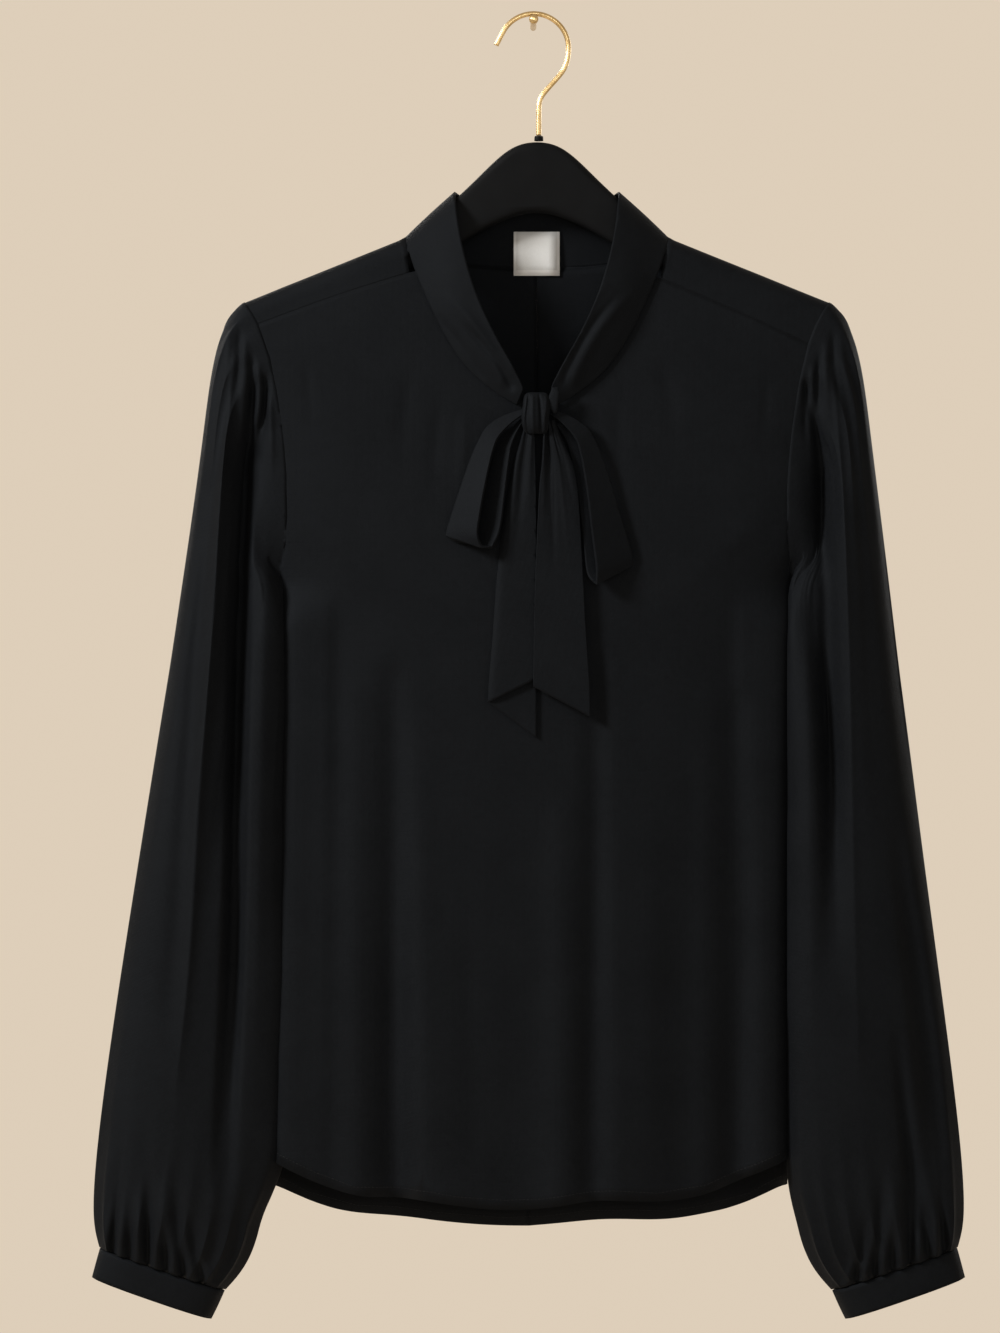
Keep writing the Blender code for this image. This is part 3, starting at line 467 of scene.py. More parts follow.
def dressed_panel(node, rows, folds, hem, face, lying, sewn):
    """A body panel with its creases and its turned-up hem; face is -1 in front and 1 behind."""
    piece = finer(node, f"{node}_cloth", 3)
    at = points_of(piece)
    x, y, z = at.T
    swayed = x - np.interp(z, MIDDLE["z"], MIDDLE["x"])
    off_side = ease((CREASES_END_X - np.abs(swayed)) / 16)
    below_top = ease((CREASES_END_Z - z) / 40)
    stands = creased(x, z, rows)
    for fold in folds:
        stands = stands + folded(x, z, fold)
    stands = stands * off_side * below_top
    deep = np.clip((y - BODY_MIDDLE_Y) * face / BODY_HALF_DEEP, 0, 1)
    stands = stands * ease(deep / 0.35)
    stands = stands + fuller_side(piece, at, swayed, face)
    rise = above_hem(x, z, hem)
    stands = stands + HEM_THICK * ease((HEM_DEEP - rise) / 0.9) * ease(deep / 0.35) * off_side
    if lying:
        stands = np.minimum(stands, room_under(at, surface_of(*lying), face))
    at[:, 1] += face * stands
    for other, reach in sewn:
        at = sewn_to(at, surface_of(other), reach)
    for side in ("left", "right"):
        at = sewn_at_underarm(at, surface_of(f"sleeve_{side}"))
    pressed(piece, at)
    return piece


def running_stitch():
    """A group that lays single stitches along a line: short, rounded, a little uneven."""
    group = bpy.data.node_groups.new("running stitch", "GeometryNodeTree")
    add = group.interface.new_socket
    add("Line", in_out="INPUT", socket_type="NodeSocketGeometry")
    for name, value in (("Spacing", 0.0027), ("Length", 0.002), ("Thread", 0.00017)):
        add(name, in_out="INPUT", socket_type="NodeSocketFloat").default_value = value
    add("Seed", in_out="INPUT", socket_type="NodeSocketInt").default_value = 5
    add("Thread material", in_out="INPUT", socket_type="NodeSocketMaterial")
    add("Stitches", in_out="OUTPUT", socket_type="NodeSocketGeometry")

    def node(kind, settings, values):
        made = group.nodes.new(kind)
        for key, value in settings.items():
            setattr(made, key, value)
        for key, value in values.items():
            if isinstance(value, bpy.types.NodeSocket):
                group.links.new(value, made.inputs[key])
            else:
                made.inputs[key].default_value = value
        return made.outputs

    given = group.nodes.new("NodeGroupInput").outputs
    curve = node("GeometryNodeMeshToCurve", {}, {"Mesh": given["Line"]})["Curve"]
    spaced = {"Curve": curve, "Length": given["Spacing"]}
    points = node("GeometryNodeCurveToPoints", {"mode": "LENGTH"}, spaced)
    turned = node(
        "FunctionNodeAlignRotationToVector", {"axis": "X"}, {"Vector": points["Tangent"]}
    )["Rotation"]
    half = node(
        "ShaderNodeMath", {"operation": "MULTIPLY"}, {0: given["Length"], 1: 0.5}
    )["Value"]
    size = node(
        "ShaderNodeCombineXYZ", {}, {"X": half, "Y": given["Thread"], "Z": given["Thread"]}
    )["Vector"]
    bead = node("GeometryNodeMeshUVSphere", {}, {"Segments": 6, "Rings": 4, "Radius": 1.0})["Mesh"]
    uneven = node(
        "FunctionNodeRandomValue", {"data_type": "FLOAT"}, {2: 0.84, 3: 1.12, "Seed": given["Seed"]}
    )[1]
    single = node("GeometryNodeTransform", {}, {"Geometry": bead, "Scale": size})["Geometry"]
    laid = node(
        "GeometryNodeInstanceOnPoints",
        {},
        {"Points": points["Points"], "Instance": single, "Rotation": turned, "Scale": uneven},
    )["Instances"]
    made = node("GeometryNodeRealizeInstances", {}, {"Geometry": laid})["Geometry"]
    worn = {"Geometry": made, "Material": given["Thread material"]}
    done = node("GeometryNodeSetMaterial", {}, worn)["Geometry"]
    group.links.new(done, group.nodes.new("NodeGroupOutput").inputs["Stitches"])
    return group


def sewing_thread(name):
    """Black thread, a little lighter along its twist."""
    finish = Finish(name, Roughness=0.5, Specular_IOR_Level=0.12)
    _, x, _, z = finish.place()
    twist = (x * 9000 + z * 6000).sine() * 0.5 + 0.5
    colour = finish.mixed(twist, (0.004, 0.0044, 0.005, 1), (0.009, 0.0096, 0.0108, 1))
    return finish.feed(Base_Color=colour)


STITCH = running_stitch()
THREAD = sewing_thread("black thread")
STITCH_STEP = 1.5
BELOW_FOLD = 1.1
STITCH_LIFT = 0.00006


def hem_stitches(panel, slot, hem, face, x_from, x_to, seed):
    """A line of stitches along the top of a panel's turned-up hem."""
    shape = bmesh.new()
    shape.from_mesh(panel.data)
    surface = BVHTree.FromBMesh(shape)
    shape.free()
    line = []
    for x in np.arange(x_from, x_to, STITCH_STEP):
        z = float(np.interp(x, hem["x"], hem["z"])) + HEM_DEEP - BELOW_FOLD
        point = Vector((x + float(np.interp(z, MIDDLE["z"], MIDDLE["x"])), 200 * face, z)) * MM
        met = surface.ray_cast(point, Vector((0, -face, 0)))[0]
        if met is not None:
            line.append(met + Vector((0, face * STITCH_LIFT, 0)))
    mesh = bpy.data.meshes.new(f"{slot}_stitches")
    mesh.from_pydata(line, [(k, k + 1) for k in range(len(line) - 1)], [])
    seam = bpy.data.objects.new(f"{slot}_stitches", mesh)
    scene.collection.objects.link(seam)
    laid = seam.modifiers.new("stitches", "NODES")
    laid.node_group = STITCH
    sockets = {item.name: item.identifier for item in STITCH.interface.items_tree}
    laid[sockets["Seed"]] = seed
    laid[sockets["Thread material"]] = THREAD
    bpy.context.view_layer.update()
    seen = seam.evaluated_get(bpy.context.evaluated_depsgraph_get())
    stitches = bpy.data.meshes.new_from_object(seen)
    seam.modifiers.clear()
    seam.data = stitches
    stitches.shade_smooth()
    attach(seam, "root")
    return seam


for side in ("left", "right"):
    sewn = [("tie_collar", 2.2)]
    if side == "left":
        sewn.append(("back_right", 0.45))
    half = dressed_panel(f"back_{side}", BACK_CREASES, (), BACK_HEM, 1, (), sewn)
    hang(half, f"back_{side}", crepe(f"crepe, back {side}"))
    ends = (-179, -1) if side == "left" else (1, 179)
    stitches = hem_stitches(half, f"back_{side}", BACK_HEM, 1, *ends, 3)
    inside = hem_stitches(half, f"back_{side}", BACK_HEM, -1, *ends, 4)

# The front: one panel of the same crepe, cut on the fold, with the V neckline under the collar.
# It hangs in soft upright folds that deepen towards the stitched hem.
FRONT_CREASES = table(
    CREASES,
    (-84, -470, -86, -822, -2, 14, 1.8, 0.5, 0.15),
    (-146, -420, -148, -815, -4, 12, 1.6, 0.4, 0.15),
    (-44, -560, -40, -826, 3, 12, -1.2, 0.5, 0.2),
    (84, -500, 82, -822, 3, 14, 1.5, 0.5, 0.2),
    (152, -440, 150, -810, 3, 10, 1.4, 0.4, 0.15),
    (-84, -236, -92, -330, 3, 7, -0.8, 0.3, 0.6),
    (-64, -262, -70, -350, 2, 6, -0.9, 0.3, 0.6),
    (-48, -272, -56, -350, -2, 5, 0.8, 0.3, 0.6),
    (88, -232, 98, -320, -3, 7, -0.7, 0.3, 0.6),
    (58, -262, 66, -350, 2, 7, -0.8, 0.3, 0.6),
    (-172, -330, -60, -420, 9, 12, 0.7, 0.4, 0.6),
    (172, -330, 66, -420, -9, 12, 0.7, 0.4, 0.6),
    (-160, -236, -154, -300, 0, 5, -0.6, 0.3, 0.6),
    (164, -246, 160, -310, 0, 5, -0.7, 0.3, 0.6),
)
FRONT_HEM = table(
    "x z",
    (-183, -799),
    (-150, -815),
    (-122, -825),
    (-94, -826),
    (-68, -828),
    (-52, -831),
    (-17, -834),
    (8, -833),
    (34, -829),
    (59, -827),
    (90, -829),
    (123, -824),
    (156, -811),
    (183, -799),
)
FRONT_FOLD = "z x wide high power"
FRONT_FOLDS = (
    table(
        FRONT_FOLD,
        (-822, -95, 13, -10.0, 2),
        (-700, -96, 12, -9.0, 2),
        (-580, -97, 11, -5.6, 2),
        (-460, -98, 9, -2.0, 2),
    ),
    table(
        FRONT_FOLD,
        (-822, -124, 12, 3.6, 2),
        (-700, -125, 11, 3.2, 2),
        (-580, -125, 10, 2.0, 2),
        (-470, -124, 9, 0.8, 2),
    ),
    table(
        FRONT_FOLD,
        (-822, 41, 11, -6.0, 2),
        (-700, 42, 10, -5.4, 2),
        (-560, 43, 9, -3.6, 2),
        (-450, 42, 8, -1.2, 2),
    ),
    table(
        FRONT_FOLD,
        (-822, 17, 12, 2.4, 2),
        (-700, 18, 11, 2.2, 2),
        (-560, 18, 10, 1.2, 2),
    ),
    table(
        FRONT_FOLD,
        (-822, 119, 12, 2.6, 2),
        (-700, 120, 11, 2.4, 2),
        (-580, 121, 10, 1.6, 2),
        (-480, 121, 9, 0.6, 2),
    ),
    table(
        FRONT_FOLD,
        (-822, 143, 11, -7.0, 2),
        (-700, 145, 10, -6.4, 2),
        (-580, 146, 9, -4.0, 2),
        (-480, 144, 8, -1.6, 2),
    ),
)
LYING_ON_FRONT = ("tie_collar", "bow_left", "bow_right", "tail_left", "tail_right", "tie_knot")
FRONT_SEWN = [("back_left", 1.05), ("back_right", 1.05), ("tie_collar", 0.4)]
front = dressed_panel(
    "front", FRONT_CREASES, FRONT_FOLDS, FRONT_HEM, -1, LYING_ON_FRONT, FRONT_SEWN
)
hang(front, "front", crepe("crepe, front"))
stitches = hem_stitches(front, "front", FRONT_HEM, -1, -176, 176, 8)

# The sleeves: long and full, gathered a little over the shoulder and drawn in at the cuff. Each
# has a sharp fold left from pressing and deep soft troughs where the fullness falls in.
FOLD = "z x wide high power"
SLEEVE_FOLDS = {
    "left": (
        table(
            FOLD,
            (-800, -216.5, 7.5, -3.0, 3),
            (-688, -211.2, 6.6, -9.0, 3),
            (-548, -207.6, 6.2, -11.0, 3),
            (-410, -205.4, 5.8, -11.0, 3),
            (-343, -203.4, 4.8, -8.5, 3),
            (-303, -200.8, 3.8, -5.5, 3),
            (-262, -197.0, 2.6, -3.0, 3),
        ),
        table(
            FOLD,
            (-744, -249.0, 5.5, 1.2, 1.2),
            (-688, -242.8, 4.2, 3.0, 1.3),
            (-548, -233.6, 3.8, 4.0, 1.3),
            (-410, -223.0, 3.6, 4.0, 1.3),
            (-320, -217.6, 3.4, 3.2, 1.3),
            (-240, -209.5, 3.4, 1.6, 1.2),
        ),
        table(
            FOLD,
            (-318, -194.0, 3.0, -1.0, 2),
            (-300, -193.5, 3.4, -4.0, 2),
            (-270, -188.5, 2.4, -3.4, 2),
            (-258, -187.0, 2.0, -2.0, 2),
        ),
        table(
            FOLD,
            (-690, -254, 7.0, -1.2, 2),
            (-560, -244, 6.5, -2.4, 2),
            (-440, -236, 6.0, -2.6, 2),
            (-330, -227, 5.0, -1.4, 2),
        ),
    ),
    "right": (
        table(
            FOLD,
            (-640, 208.0, 7.5, -2.0, 2.4),
            (-480, 207.2, 6.5, -6.0, 2.4),
            (-400, 205.5, 5.5, -5.5, 2.4),
            (-330, 202.5, 4.5, -5.0, 2.4),
            (-300, 199.5, 3.6, -4.0, 2.4),
            (-262, 191.5, 2.6, -2.4, 2.4),
        ),
        table(
            FOLD,
            (-720, 226.0, 6.0, 1.0, 1.3),
            (-560, 222.0, 4.5, 2.2, 1.3),
            (-420, 219.0, 4.0, 3.0, 1.3),
            (-320, 215.0, 3.4, 2.8, 1.3),
            (-250, 209.5, 3.2, 1.4, 1.3),
        ),
        table(
            FOLD,
            (-790, 281.0, 9.0, -3.5, 2.2),
            (-740, 276.0, 8.5, -6.0, 2.2),
            (-660, 265.5, 7.5, -5.0, 2.2),
            (-580, 254.0, 6.0, -1.5, 2.2),
        ),
        table(
            FOLD,
            (-840, 270.0, 6.0, -4.5, 2.2),
            (-780, 261.0, 5.0, -4.0, 2.2),
            (-715, 254.0, 5.0, -1.0, 2.2),
        ),
    ),
}
SLEEVE_FOLDS_BEHIND = (
    table(
        FOLD,
        (-770, 230, 9.0, -2.0, 2.6),
        (-600, 216, 8.0, -7.0, 2.6),
        (-430, 208, 7.0, -7.5, 2.6),
        (-320, 203, 5.0, -5.0, 2.6),
        (-264, 196, 3.0, -2.6, 2.6),
    ),
    table(
        FOLD,
        (-740, 262, 6.0, 1.2, 1.3),
        (-560, 243, 4.5, 2.4, 1.3),
        (-400, 226, 4.0, 2.8, 1.3),
        (-270, 212, 3.4, 1.6, 1.3),
    ),
)
SLEEVE_FRONT = {
    "left": table(
        CREASES,
        (-186, -330, -196, -760, 0, 7, 1.6, 0.2, 0.3),
        (-203, -222, -207, -300, -2, 3.0, 1.9, 0.2, 0.6),
        (-198, -232, -201, -322, -2, 2.4, -2.4, 0.15, 0.6),
        (-193.5, -240, -195, -312, -2, 2.4, 1.8, 0.15, 0.6),
        (-207, -214, -214, -282, -3, 2.6, -1.8, 0.2, 0.6),
        (-213, -214, -226, -286, -3, 2.8, 1.2, 0.3, 0.6),
        (-189, -248, -190, -300, -1, 2.0, -1.8, 0.15, 0.6),
        (-185.5, -262, -184, -330, -1, 2.2, 1.4, 0.2, 0.5),
    ),
    "right": table(
        CREASES,
        (190, -330, 194, -760, 0, 7, 1.5, 0.2, 0.3),
        (238, -330, 262, -560, -4, 9, -1.4, 0.3, 0.4),
        (205, -224, 209, -300, 2, 3.0, 1.9, 0.2, 0.6),
        (200, -234, 202, -318, 2, 2.4, -2.3, 0.15, 0.6),
        (195.5, -242, 197, -310, 2, 2.4, 1.7, 0.15, 0.6),
        (210, -216, 218, -286, 3, 2.6, -1.7, 0.2, 0.6),
        (215, -216, 229, -288, 3, 2.8, 1.2, 0.3, 0.6),
        (190.5, -252, 191, -306, 1, 2.0, -1.7, 0.15, 0.6),
    ),
}
SLEEVE_BACK = table(
    CREASES,
    (188, -310, 200, -760, 0, 9, 1.5, 0.2, 0.3),
    (240, -520, 274, -800, -3, 8, -1.8, 0.4, 0.2),
    (205, -238, 209, -304, 3, 3.0, 1.2, 0.3, 0.6),
    (199, -246, 200, -322, 3, 2.8, -1.2, 0.25, 0.6),
    (194, -256, 190, -330, 2, 2.6, 1.1, 0.25, 0.6),
    (210, -224, 222, -296, 4, 3.0, 1.1, 0.3, 0.6),
)
# Where the sleeve's front layer reaches over the body's side, and between which heights
SLEEVE_LAP = {"left": -174.6, "right": 177.4}
LAP_TOP = -334
LAP_FOOT = -850
LAP_MOST = 16
LAP_EASED = 26
FRONT_LAYER_Y = -47
SLEEVE_MIDDLE_Y = -43
SLEEVE_BEHIND_Y = -50
ARMHOLE_SEAM = table("down out", (190, 199), (240, 187), (300, 177), (420, 176))
ARMHOLE_REACH = 1.2
CUFF_SEAM_OUT = (302.0, -864.0)
CUFF_SEAM_IN = (216.0, -893.0)
GATHERED = 1.35
# Gathers over the cuff: where each starts on the cuff, how it leans, its width, height and length
CUFF_GATHERS = table(
    "share lean width height length",
    (0.05, -2, 3.0, 1.4, 60),
    (0.12, -1, 2.4, -2.0, 95),
    (0.19, 1, 2.8, 1.8, 50),
    (0.26, 0, 2.2, -1.4, 40),
    (0.33, 2, 3.0, 1.8, 70),
    (0.41, 1, 2.4, -2.4, 110),
    (0.48, -1, 3.2, 2.0, 60),
    (0.56, 1, 2.2, -1.6, 45),
    (0.63, 3, 3.0, 1.7, 80),
    (0.70, 1, 2.4, -2.2, 90),
    (0.78, 3, 2.8, 1.8, 55),
    (0.85, 2, 2.4, -1.8, 70),
    (0.93, 4, 2.6, 1.3, 45),
)


def cuff_gathers(x, z, sign, offset):
    """Gathers rising from the cuff's tilted seam, in the sleeve's own outward direction."""
    out = np.zeros(len(x))
    top = np.array([sign * CUFF_SEAM_OUT[0], CUFF_SEAM_OUT[1]])
    run = np.array([sign * CUFF_SEAM_IN[0], CUFF_SEAM_IN[1]]) - top
    for share, lean, width, height, length in zip(*CUFF_GATHERS.values()):
        foot = top + run * ((share + offset) % 1.0)
        rise = z - foot[1]
        fan = sign * (share - 0.5) * 0.28 * rise
        centre = foot[0] + fan + sign * lean * ease(rise / length) * 2
        spread = width * (1 + rise / 70)
        ends = ease((length - rise) / (0.8 * length)) * ease((rise + 3) / 5)
        out = out + GATHERED * height * ends * np.exp(-(((x - centre) / spread) ** 2))
    return out


def layers(out, y, z):
    """How fully each point is in a sleeve's front layer and in its back layer."""
    across, down = np.round(out / 4).astype(int), np.round(z / 7).astype(int)
    across, down = across - across.min() + 1, down - down.min() + 1
    near = np.full((across.max() + 2, down.max() + 2), AMPLE_ROOM)
    far = -near
    np.minimum.at(near, (across, down), y)
    np.maximum.at(far, (across, down), y)
    steps = [(a, b) for a in (-1, 0, 1) for b in (-1, 0, 1)]
    near = np.min([np.roll(near, step, (0, 1)) for step in steps], axis=0)
    far = np.max([np.roll(far, step, (0, 1)) for step in steps], axis=0)
    front, back = near[across, down], far[across, down]
    apart = np.clip((back - front - 4) / 8, 0, 1)
    middle = (front + back) / 2
    return apart * ease((middle - y) / 3), apart * ease((y - middle) / 3)


def lapped_over(out, y, z, line):
    """How far the front layer's inner edge is drawn in, to lap over the body's side along a
    line, given as distances from the blouse's middle."""
    levels = np.arange(-862.0, -336.0, 6.0)
    fore_layer = y < FRONT_LAYER_Y
    inner = [out[fore_layer & (np.abs(z - level) < 4)].min() for level in levels]
    # The outermost of five levels at a time, then evened out
    beside = np.pad(inner, 2, "edge")
    inner = np.max([beside[k : k + len(levels)] for k in range(5)], axis=0)
    inner = np.convolve(np.pad(inner, 2, "edge"), (0.1, 0.2, 0.4, 0.2, 0.1), "valid")
    inner = np.interp(z, levels, inner)
    slack = np.clip(inner - line, 0, LAP_MOST)
    slack = slack * ease((LAP_TOP - z) / 36) * ease((z - LAP_FOOT) / 60)
    slack = slack * (1 - ease((out - inner) / LAP_EASED)) * ease((SLEEVE_MIDDLE_Y - y) / 9)
    return np.minimum(slack, np.maximum(out - line, 0))


def dressed_sleeve(side):
    """A sleeve with its lap, its creases and folds, and its gathers over the cuff."""
    sign = -1 if side == "left" else 1
    piece = finer(f"sleeve_{side}", f"sleeve_{side}_cloth", 3, calmed=(-0.822, -0.28))
    at = points_of(piece)
    x, y, z = at.T
    sway = np.interp(z, MIDDLE["z"], MIDDLE["x"])
    out = sign * (x - sway)
    front_share, back_share = layers(out, y, z)
    at[:, 0] -= sign * lapped_over(out, y, z, sign * (SLEEVE_LAP[side] - sway))
    # x is a view of the moved points, so the creases follow the lapped cloth
    out = sign * (x - sway)
    fore = creased(x, z, SLEEVE_FRONT[side])
    for fold in SLEEVE_FOLDS[side]:
        fore = fore + folded(x, z, fold)
    aft = creased(out, z, SLEEVE_BACK)
    for fold in SLEEVE_FOLDS_BEHIND:
        aft = aft + folded(out, z, fold)
    gathers = cuff_gathers(x - sway, z, sign, 0.0), cuff_gathers(x - sway, z, sign, 0.04)
    # Nothing creases at the seams themselves
    below_head = ease((-204 - z) / 10)
    from_seam = ease((out - np.interp(-z, ARMHOLE_SEAM["down"], ARMHOLE_SEAM["out"])) / 3)
    fore, aft = fore * below_head * from_seam, aft * below_head * from_seam
    at[:, 1] += (fore + gathers[0]) * -front_share + (aft + gathers[1]) * back_share
    body = surface_of("front", f"back_{side}")
    at = sewn_to(at, body, ARMHOLE_REACH)
    behind = at[:, 1] > SLEEVE_BEHIND_Y
    at[behind] = sewn_at_underarm(at[behind], body)
    pressed(piece, at)
    return piece


for side in ("left", "right"):
    sleeve = dressed_sleeve(side)
    hang(sleeve, f"sleeve_{side}", crepe(f"crepe, sleeve {side}", -0.12 if side == "left" else 0.12))

# The cuffs: narrow bands of doubled crepe that the sleeves' fullness is gathered into, turned
# and pressed soft at both edges.
for side in ("left", "right"):
    cuff = finer(f"cuff_{side}", f"cuff_{side}_band", 2)
    hang(cuff, f"cuff_{side}", crepe(f"crepe, cuff {side}", -0.33 if side == "left" else 0.33))

# The tie collar: a long doubled band of crepe sewn round the neck, soft enough to roll, which
# narrows towards the knot in a few pulled folds.
COLLAR_CREASES = table(
    CREASES,
    (75, -188, 25, -262, 6, 4.5, 1.7, 0.4, 0.1),
    (64, -190, 18, -262, 5, 3.2, -1.5, 0.4, 0.1),
    (58, -178, 20, -248, 4, 4.0, 0.9, 0.4, 0.15),
    (-66, -192, -20, -262, -7, 4.2, 1.5, 0.4, 0.1),
    (-52, -214, -13, -264, -3, 3.0, -1.7, 0.3, 0.1),
    (-44, -196, -12, -254, -4, 3.6, 1.0, 0.4, 0.15),
    (-72, -206, -34, -258, -3, 3.0, -0.9, 0.4, 0.2),
)
COLLAR_FRONT_Y = -46
COLLAR_FRONT_Z = -158
collar = finer("tie_collar", "tie_collar_band", 3)
at = points_of(collar)
x, y, z = at.T
in_front = ease((COLLAR_FRONT_Y - y) / 12)
below_neck = ease((COLLAR_FRONT_Z - z) / 20)
at[:, 1] -= creased(x, z, COLLAR_CREASES) * in_front * below_neck
at = sewn_to(at, surface_of("front"), 0.35)
at = sewn_to(at, surface_of("back_left", "back_right"), 1.5)
pressed(collar, at)
hang(collar, "tie_collar", crepe("crepe, collar", 0.7))

# The bow: the tie's two ends looped and knotted, with both tails hanging; each is the doubled
# band, and the knot is one turn of it round the rest.
KNOT_MIDDLE = np.array([1.3, -73.0, -277.0])


def tucked_in(at, end, reach, by):
    """Draws one end of a band in under the knot."""
    near = ease((reach - np.linalg.norm(at - np.array(end), axis=1)) / reach)
    return at + (KNOT_MIDDLE - at) * (by * near)[:, None]


BOW_ENDS = {"bow_left": (-12, -70, -278), "bow_right": (20, -71, -276)}
BOW_TURN = {"bow_left": 0.4, "bow_right": -0.4}
for node, flat in (("bow_left", (0.028, 0.145)), ("bow_right", (0.034, 0.155))):
    loop = finer(node, f"{node}_band", 3)
    pressed(loop, tucked_in(points_of(loop), BOW_ENDS[node], 26, 0.62))
    hang(loop, node, crepe(f"crepe, {node}", BOW_TURN[node]))
TAIL_CREASES = {
    "tail_left": table(
        CREASES,
        (-6, -290, -12, -372, 0, 2.6, -1.3, 0.1, 0.6),
        (-2, -290, -4, -352, 0, 2.4, 0.9, 0.1, 0.6),
        (-10, -294, -20, -400, 0, 3.0, 0.7, 0.2, 0.5),
    ),
    "tail_right": table(
        CREASES,
        (12, -290, 14, -400, 0, 3.0, -1.4, 0.1, 0.6),
        (8, -290, 6, -372, 0, 2.6, 1.0, 0.1, 0.6),
        (16, -290, 24, -380, 0, 2.6, 1.1, 0.1, 0.6),
        (18, -294, 30, -356, 0, 2.6, -0.8, 0.2, 0.6),
    ),
}
TAIL_TOP = -316
TAIL_RAISED = 10
for node, flat in (("tail_left", (0.06, 0.21)), ("tail_right", (0.04, 0.19))):
    tail = finer(node, f"{node}_band", 3)
    at = points_of(tail)
    at[:, 1] -= np.maximum(creased(at[:, 0], at[:, 2], TAIL_CREASES[node]), -1.0)
    up = ease((at[:, 2] - TAIL_TOP) / 22)
    at[:, 2] += TAIL_RAISED * up
    at[:, 0] += (KNOT_MIDDLE[0] - at[:, 0]) * 0.3 * up
    pressed(tail, at)
    hang(tail, node, crepe(f"crepe, {node}", 0.06))
KNOT_CREASES = table(
    CREASES,
    (-4.5, -262, -3.4, -298, 0.8, 1.3, -1.5, 0.25, 0.25),
    (-0.5, -262, 0.2, -298, 0.8, 1.8, 1.0, 0.25, 0.25),
    (3.2, -262, 4.4, -298, -0.8, 1.3, -1.6, 0.25, 0.25),
    (7.4, -262, 7.8, -298, -0.6, 1.4, 0.7, 0.25, 0.25),
)
KNOT_FACE_Y = -70
TUCK_END = (11, -74, -270)
for node in ("tie_knot", "tie_knot_tuck"):
    turn = finer(node, f"{node}_turn", 3, math.radians(100))
    at = points_of(turn)
    if node == "tie_knot":
        at[:, 1] -= creased(at[:, 0], at[:, 2], KNOT_CREASES) * ease((KNOT_FACE_Y - at[:, 1]) / 4)
        aside = ease((np.abs(at[:, 0] - KNOT_MIDDLE[0]) - 3) / 5)
        at[:, 0] += 0.9 * np.sin((at[:, 2] - KNOT_MIDDLE[2]) / 5.2) * aside
    else:
        at = tucked_in(at, TUCK_END, 9, 0.35)
    pressed(turn, at)
    hang(turn, node, crepe(f"crepe, {node}", 0.2))
    flat = (0.024, 0.036) if node == "tie_knot" else (0.011, 0.017)

# The neck label: a small woven satin label, off-white and bare, with lighter edges where it is
# turned under. It is sewn flat over the back neck seam, inside.
LABEL_MIDDLE_X = 0.0022
LABEL_FOOT_Z = -0.1755


def woven_satin(name):
    """Off-white satin with lighter turned edges."""
    finish = Finish(name, Specular_IOR_Level=0.4, Sheen_Weight=0.2, Sheen_Roughness=0.4)
    whole, x, _, z = finish.place()
    picks = (z * 12500).sine()
    ends = (x * 9200).sine()
    weave = picks * ends
    side_edges = (x - LABEL_MIDDLE_X).size().between(0.0140, 0.0150)
    foot_edge = (z - LABEL_FOOT_Z).between(0.0, 0.0008)
    bright = side_edges.with_other("MAXIMUM", side_edges, 1 - foot_edge)
    mottle = finish.cloudy(whole, 700, 3, 0.6)
    ground = finish.mixed(mottle, (0.335, 0.345, 0.35, 1), (0.39, 0.40, 0.405, 1))
    colour = finish.mixed(bright, ground, (0.50, 0.505, 0.51, 1))
    bump = finish.raised(weave * 0.5 + mottle, 0.00008, 0.7)
    return finish.feed(Base_Color=colour, Roughness=0.5 + mottle * 0.12, Normal=bump)


label = finer("neck_label", "neck_label_woven", 2)
hang(label, "neck_label", woven_satin("woven satin, label"))

# The studio: a pale floor well below the hem, soft light from the upper left, and the camera
# square on, as far back as a long lens needs.
FLOOR_Z = -1.38
FLOOR_RADIUS = 1.5
CAMERA_BACK = 3.4
BLOUSE_Y = -0.06
FILM_HIGH = 24
PHOTO_HIGH = 0.9331
PHOTO_MIDDLE = (-0.0237, -0.4550)

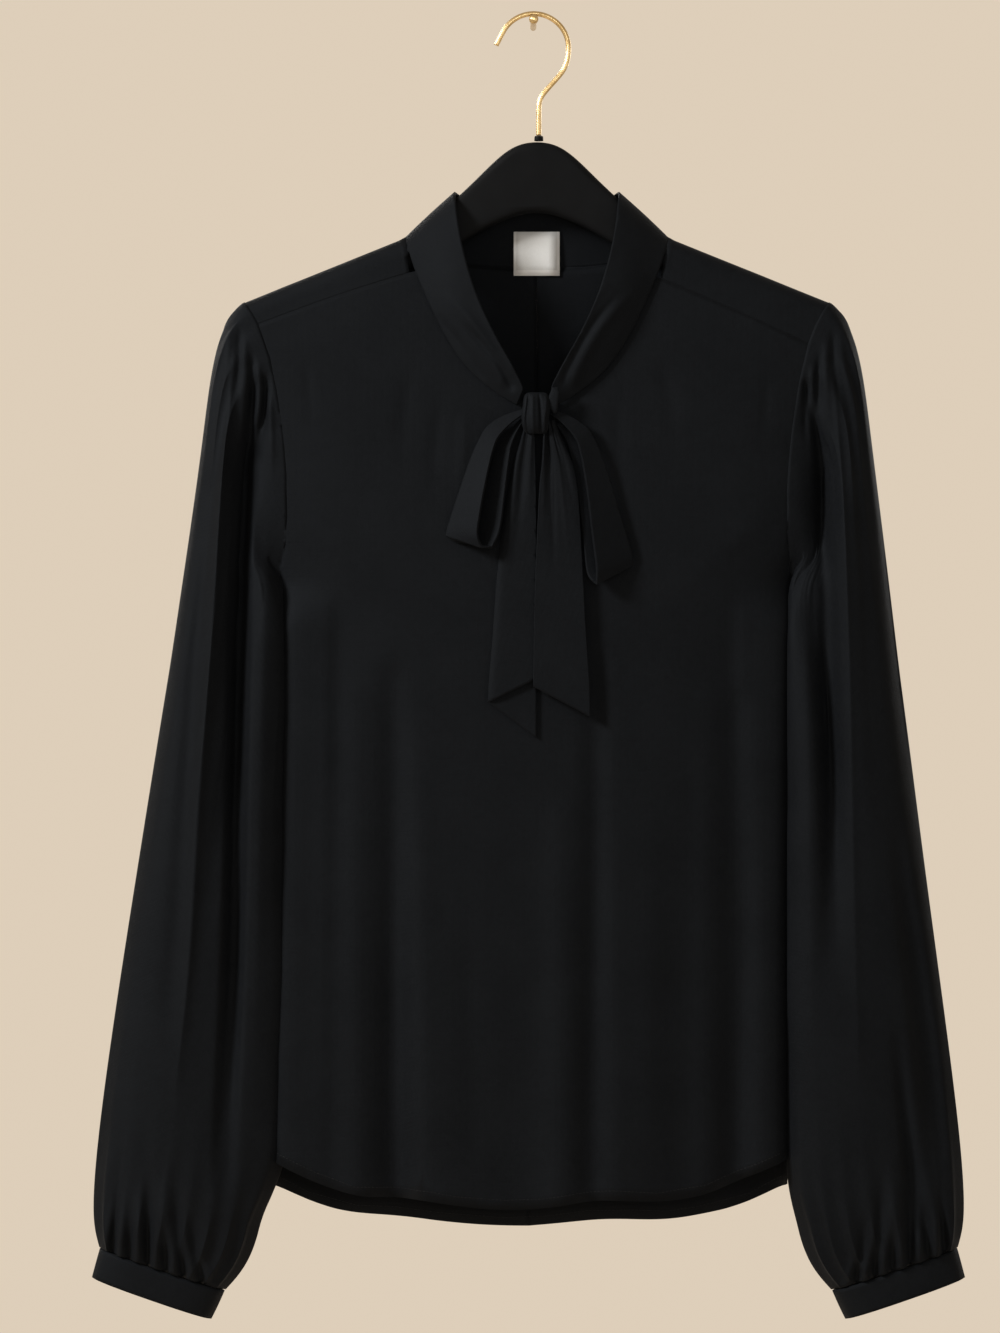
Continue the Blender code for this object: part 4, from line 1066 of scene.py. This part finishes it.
shape = bmesh.new()
bmesh.ops.create_circle(shape, cap_ends=True, segments=96, radius=FLOOR_RADIUS)
mesh = bpy.data.meshes.new("floor")
shape.to_mesh(mesh)
shape.free()
mesh.transform(Matrix.Translation((0, 0, FLOOR_Z)))
floor = bpy.data.objects.new("floor", mesh)
scene.collection.objects.link(floor)
plaster = Finish("pale floor", Roughness=0.85)
grain = plaster.cloudy(plaster.place()[0], 7, 4, 0.6)
floor.data.materials.append(
    plaster.feed(Base_Color=plaster.mixed(grain, (0.70, 0.60, 0.49, 1), (0.74, 0.64, 0.53, 1)))
)


def soft_light(name, place, target, wide, power, colour):
    light = bpy.data.lights.new(name, "AREA")
    light.shape = "DISK"
    light.size = wide
    light.energy = power
    light.color = colour
    lamp = bpy.data.objects.new(name, light)
    scene.collection.objects.link(lamp)
    lamp.location = place
    aim = Vector(target) - lamp.location
    lamp.rotation_euler = aim.to_track_quat("-Z", "Y").to_euler()
    return lamp


soft_light("key", (-2.2, -1.4, 0.95), (0, 0, -0.45), 0.7, 165, (1.0, 0.98, 0.95))
soft_light("fill", (1.9, -1.6, -0.3), (0, 0, -0.45), 1.6, 7, (0.93, 0.96, 1.0))
soft_light("front", (0.2, -3.0, 0.1), (0, 0, -0.3), 1.2, 16, (0.95, 0.97, 1.0))
soft_light("back left", (-1.5, 1.8, 0.8), (0, 0, -0.45), 1.2, 34, (1.0, 0.98, 0.95))
soft_light("back right", (1.7, 1.7, 0.2), (0, 0, -0.45), 1.4, 20, (0.95, 0.97, 1.0))
world = bpy.data.worlds.new("studio")
scene.world = world
world.use_nodes = True
world.node_tree.nodes["Background"].inputs["Color"].default_value = (0.73, 0.62, 0.49, 1)
world.node_tree.nodes["Background"].inputs["Strength"].default_value = 1.0
scene.view_settings.view_transform = "Standard"

lens = bpy.data.cameras.new("camera")
lens.sensor_fit = "VERTICAL"
lens.sensor_height = FILM_HIGH
lens.lens = FILM_HIGH * CAMERA_BACK / PHOTO_HIGH
camera = bpy.data.objects.new("camera", lens)
scene.collection.objects.link(camera)
camera.location = (PHOTO_MIDDLE[0], BLOUSE_Y - CAMERA_BACK, PHOTO_MIDDLE[1])
camera.rotation_euler = (math.pi / 2, 0, 0)
scene.camera = camera
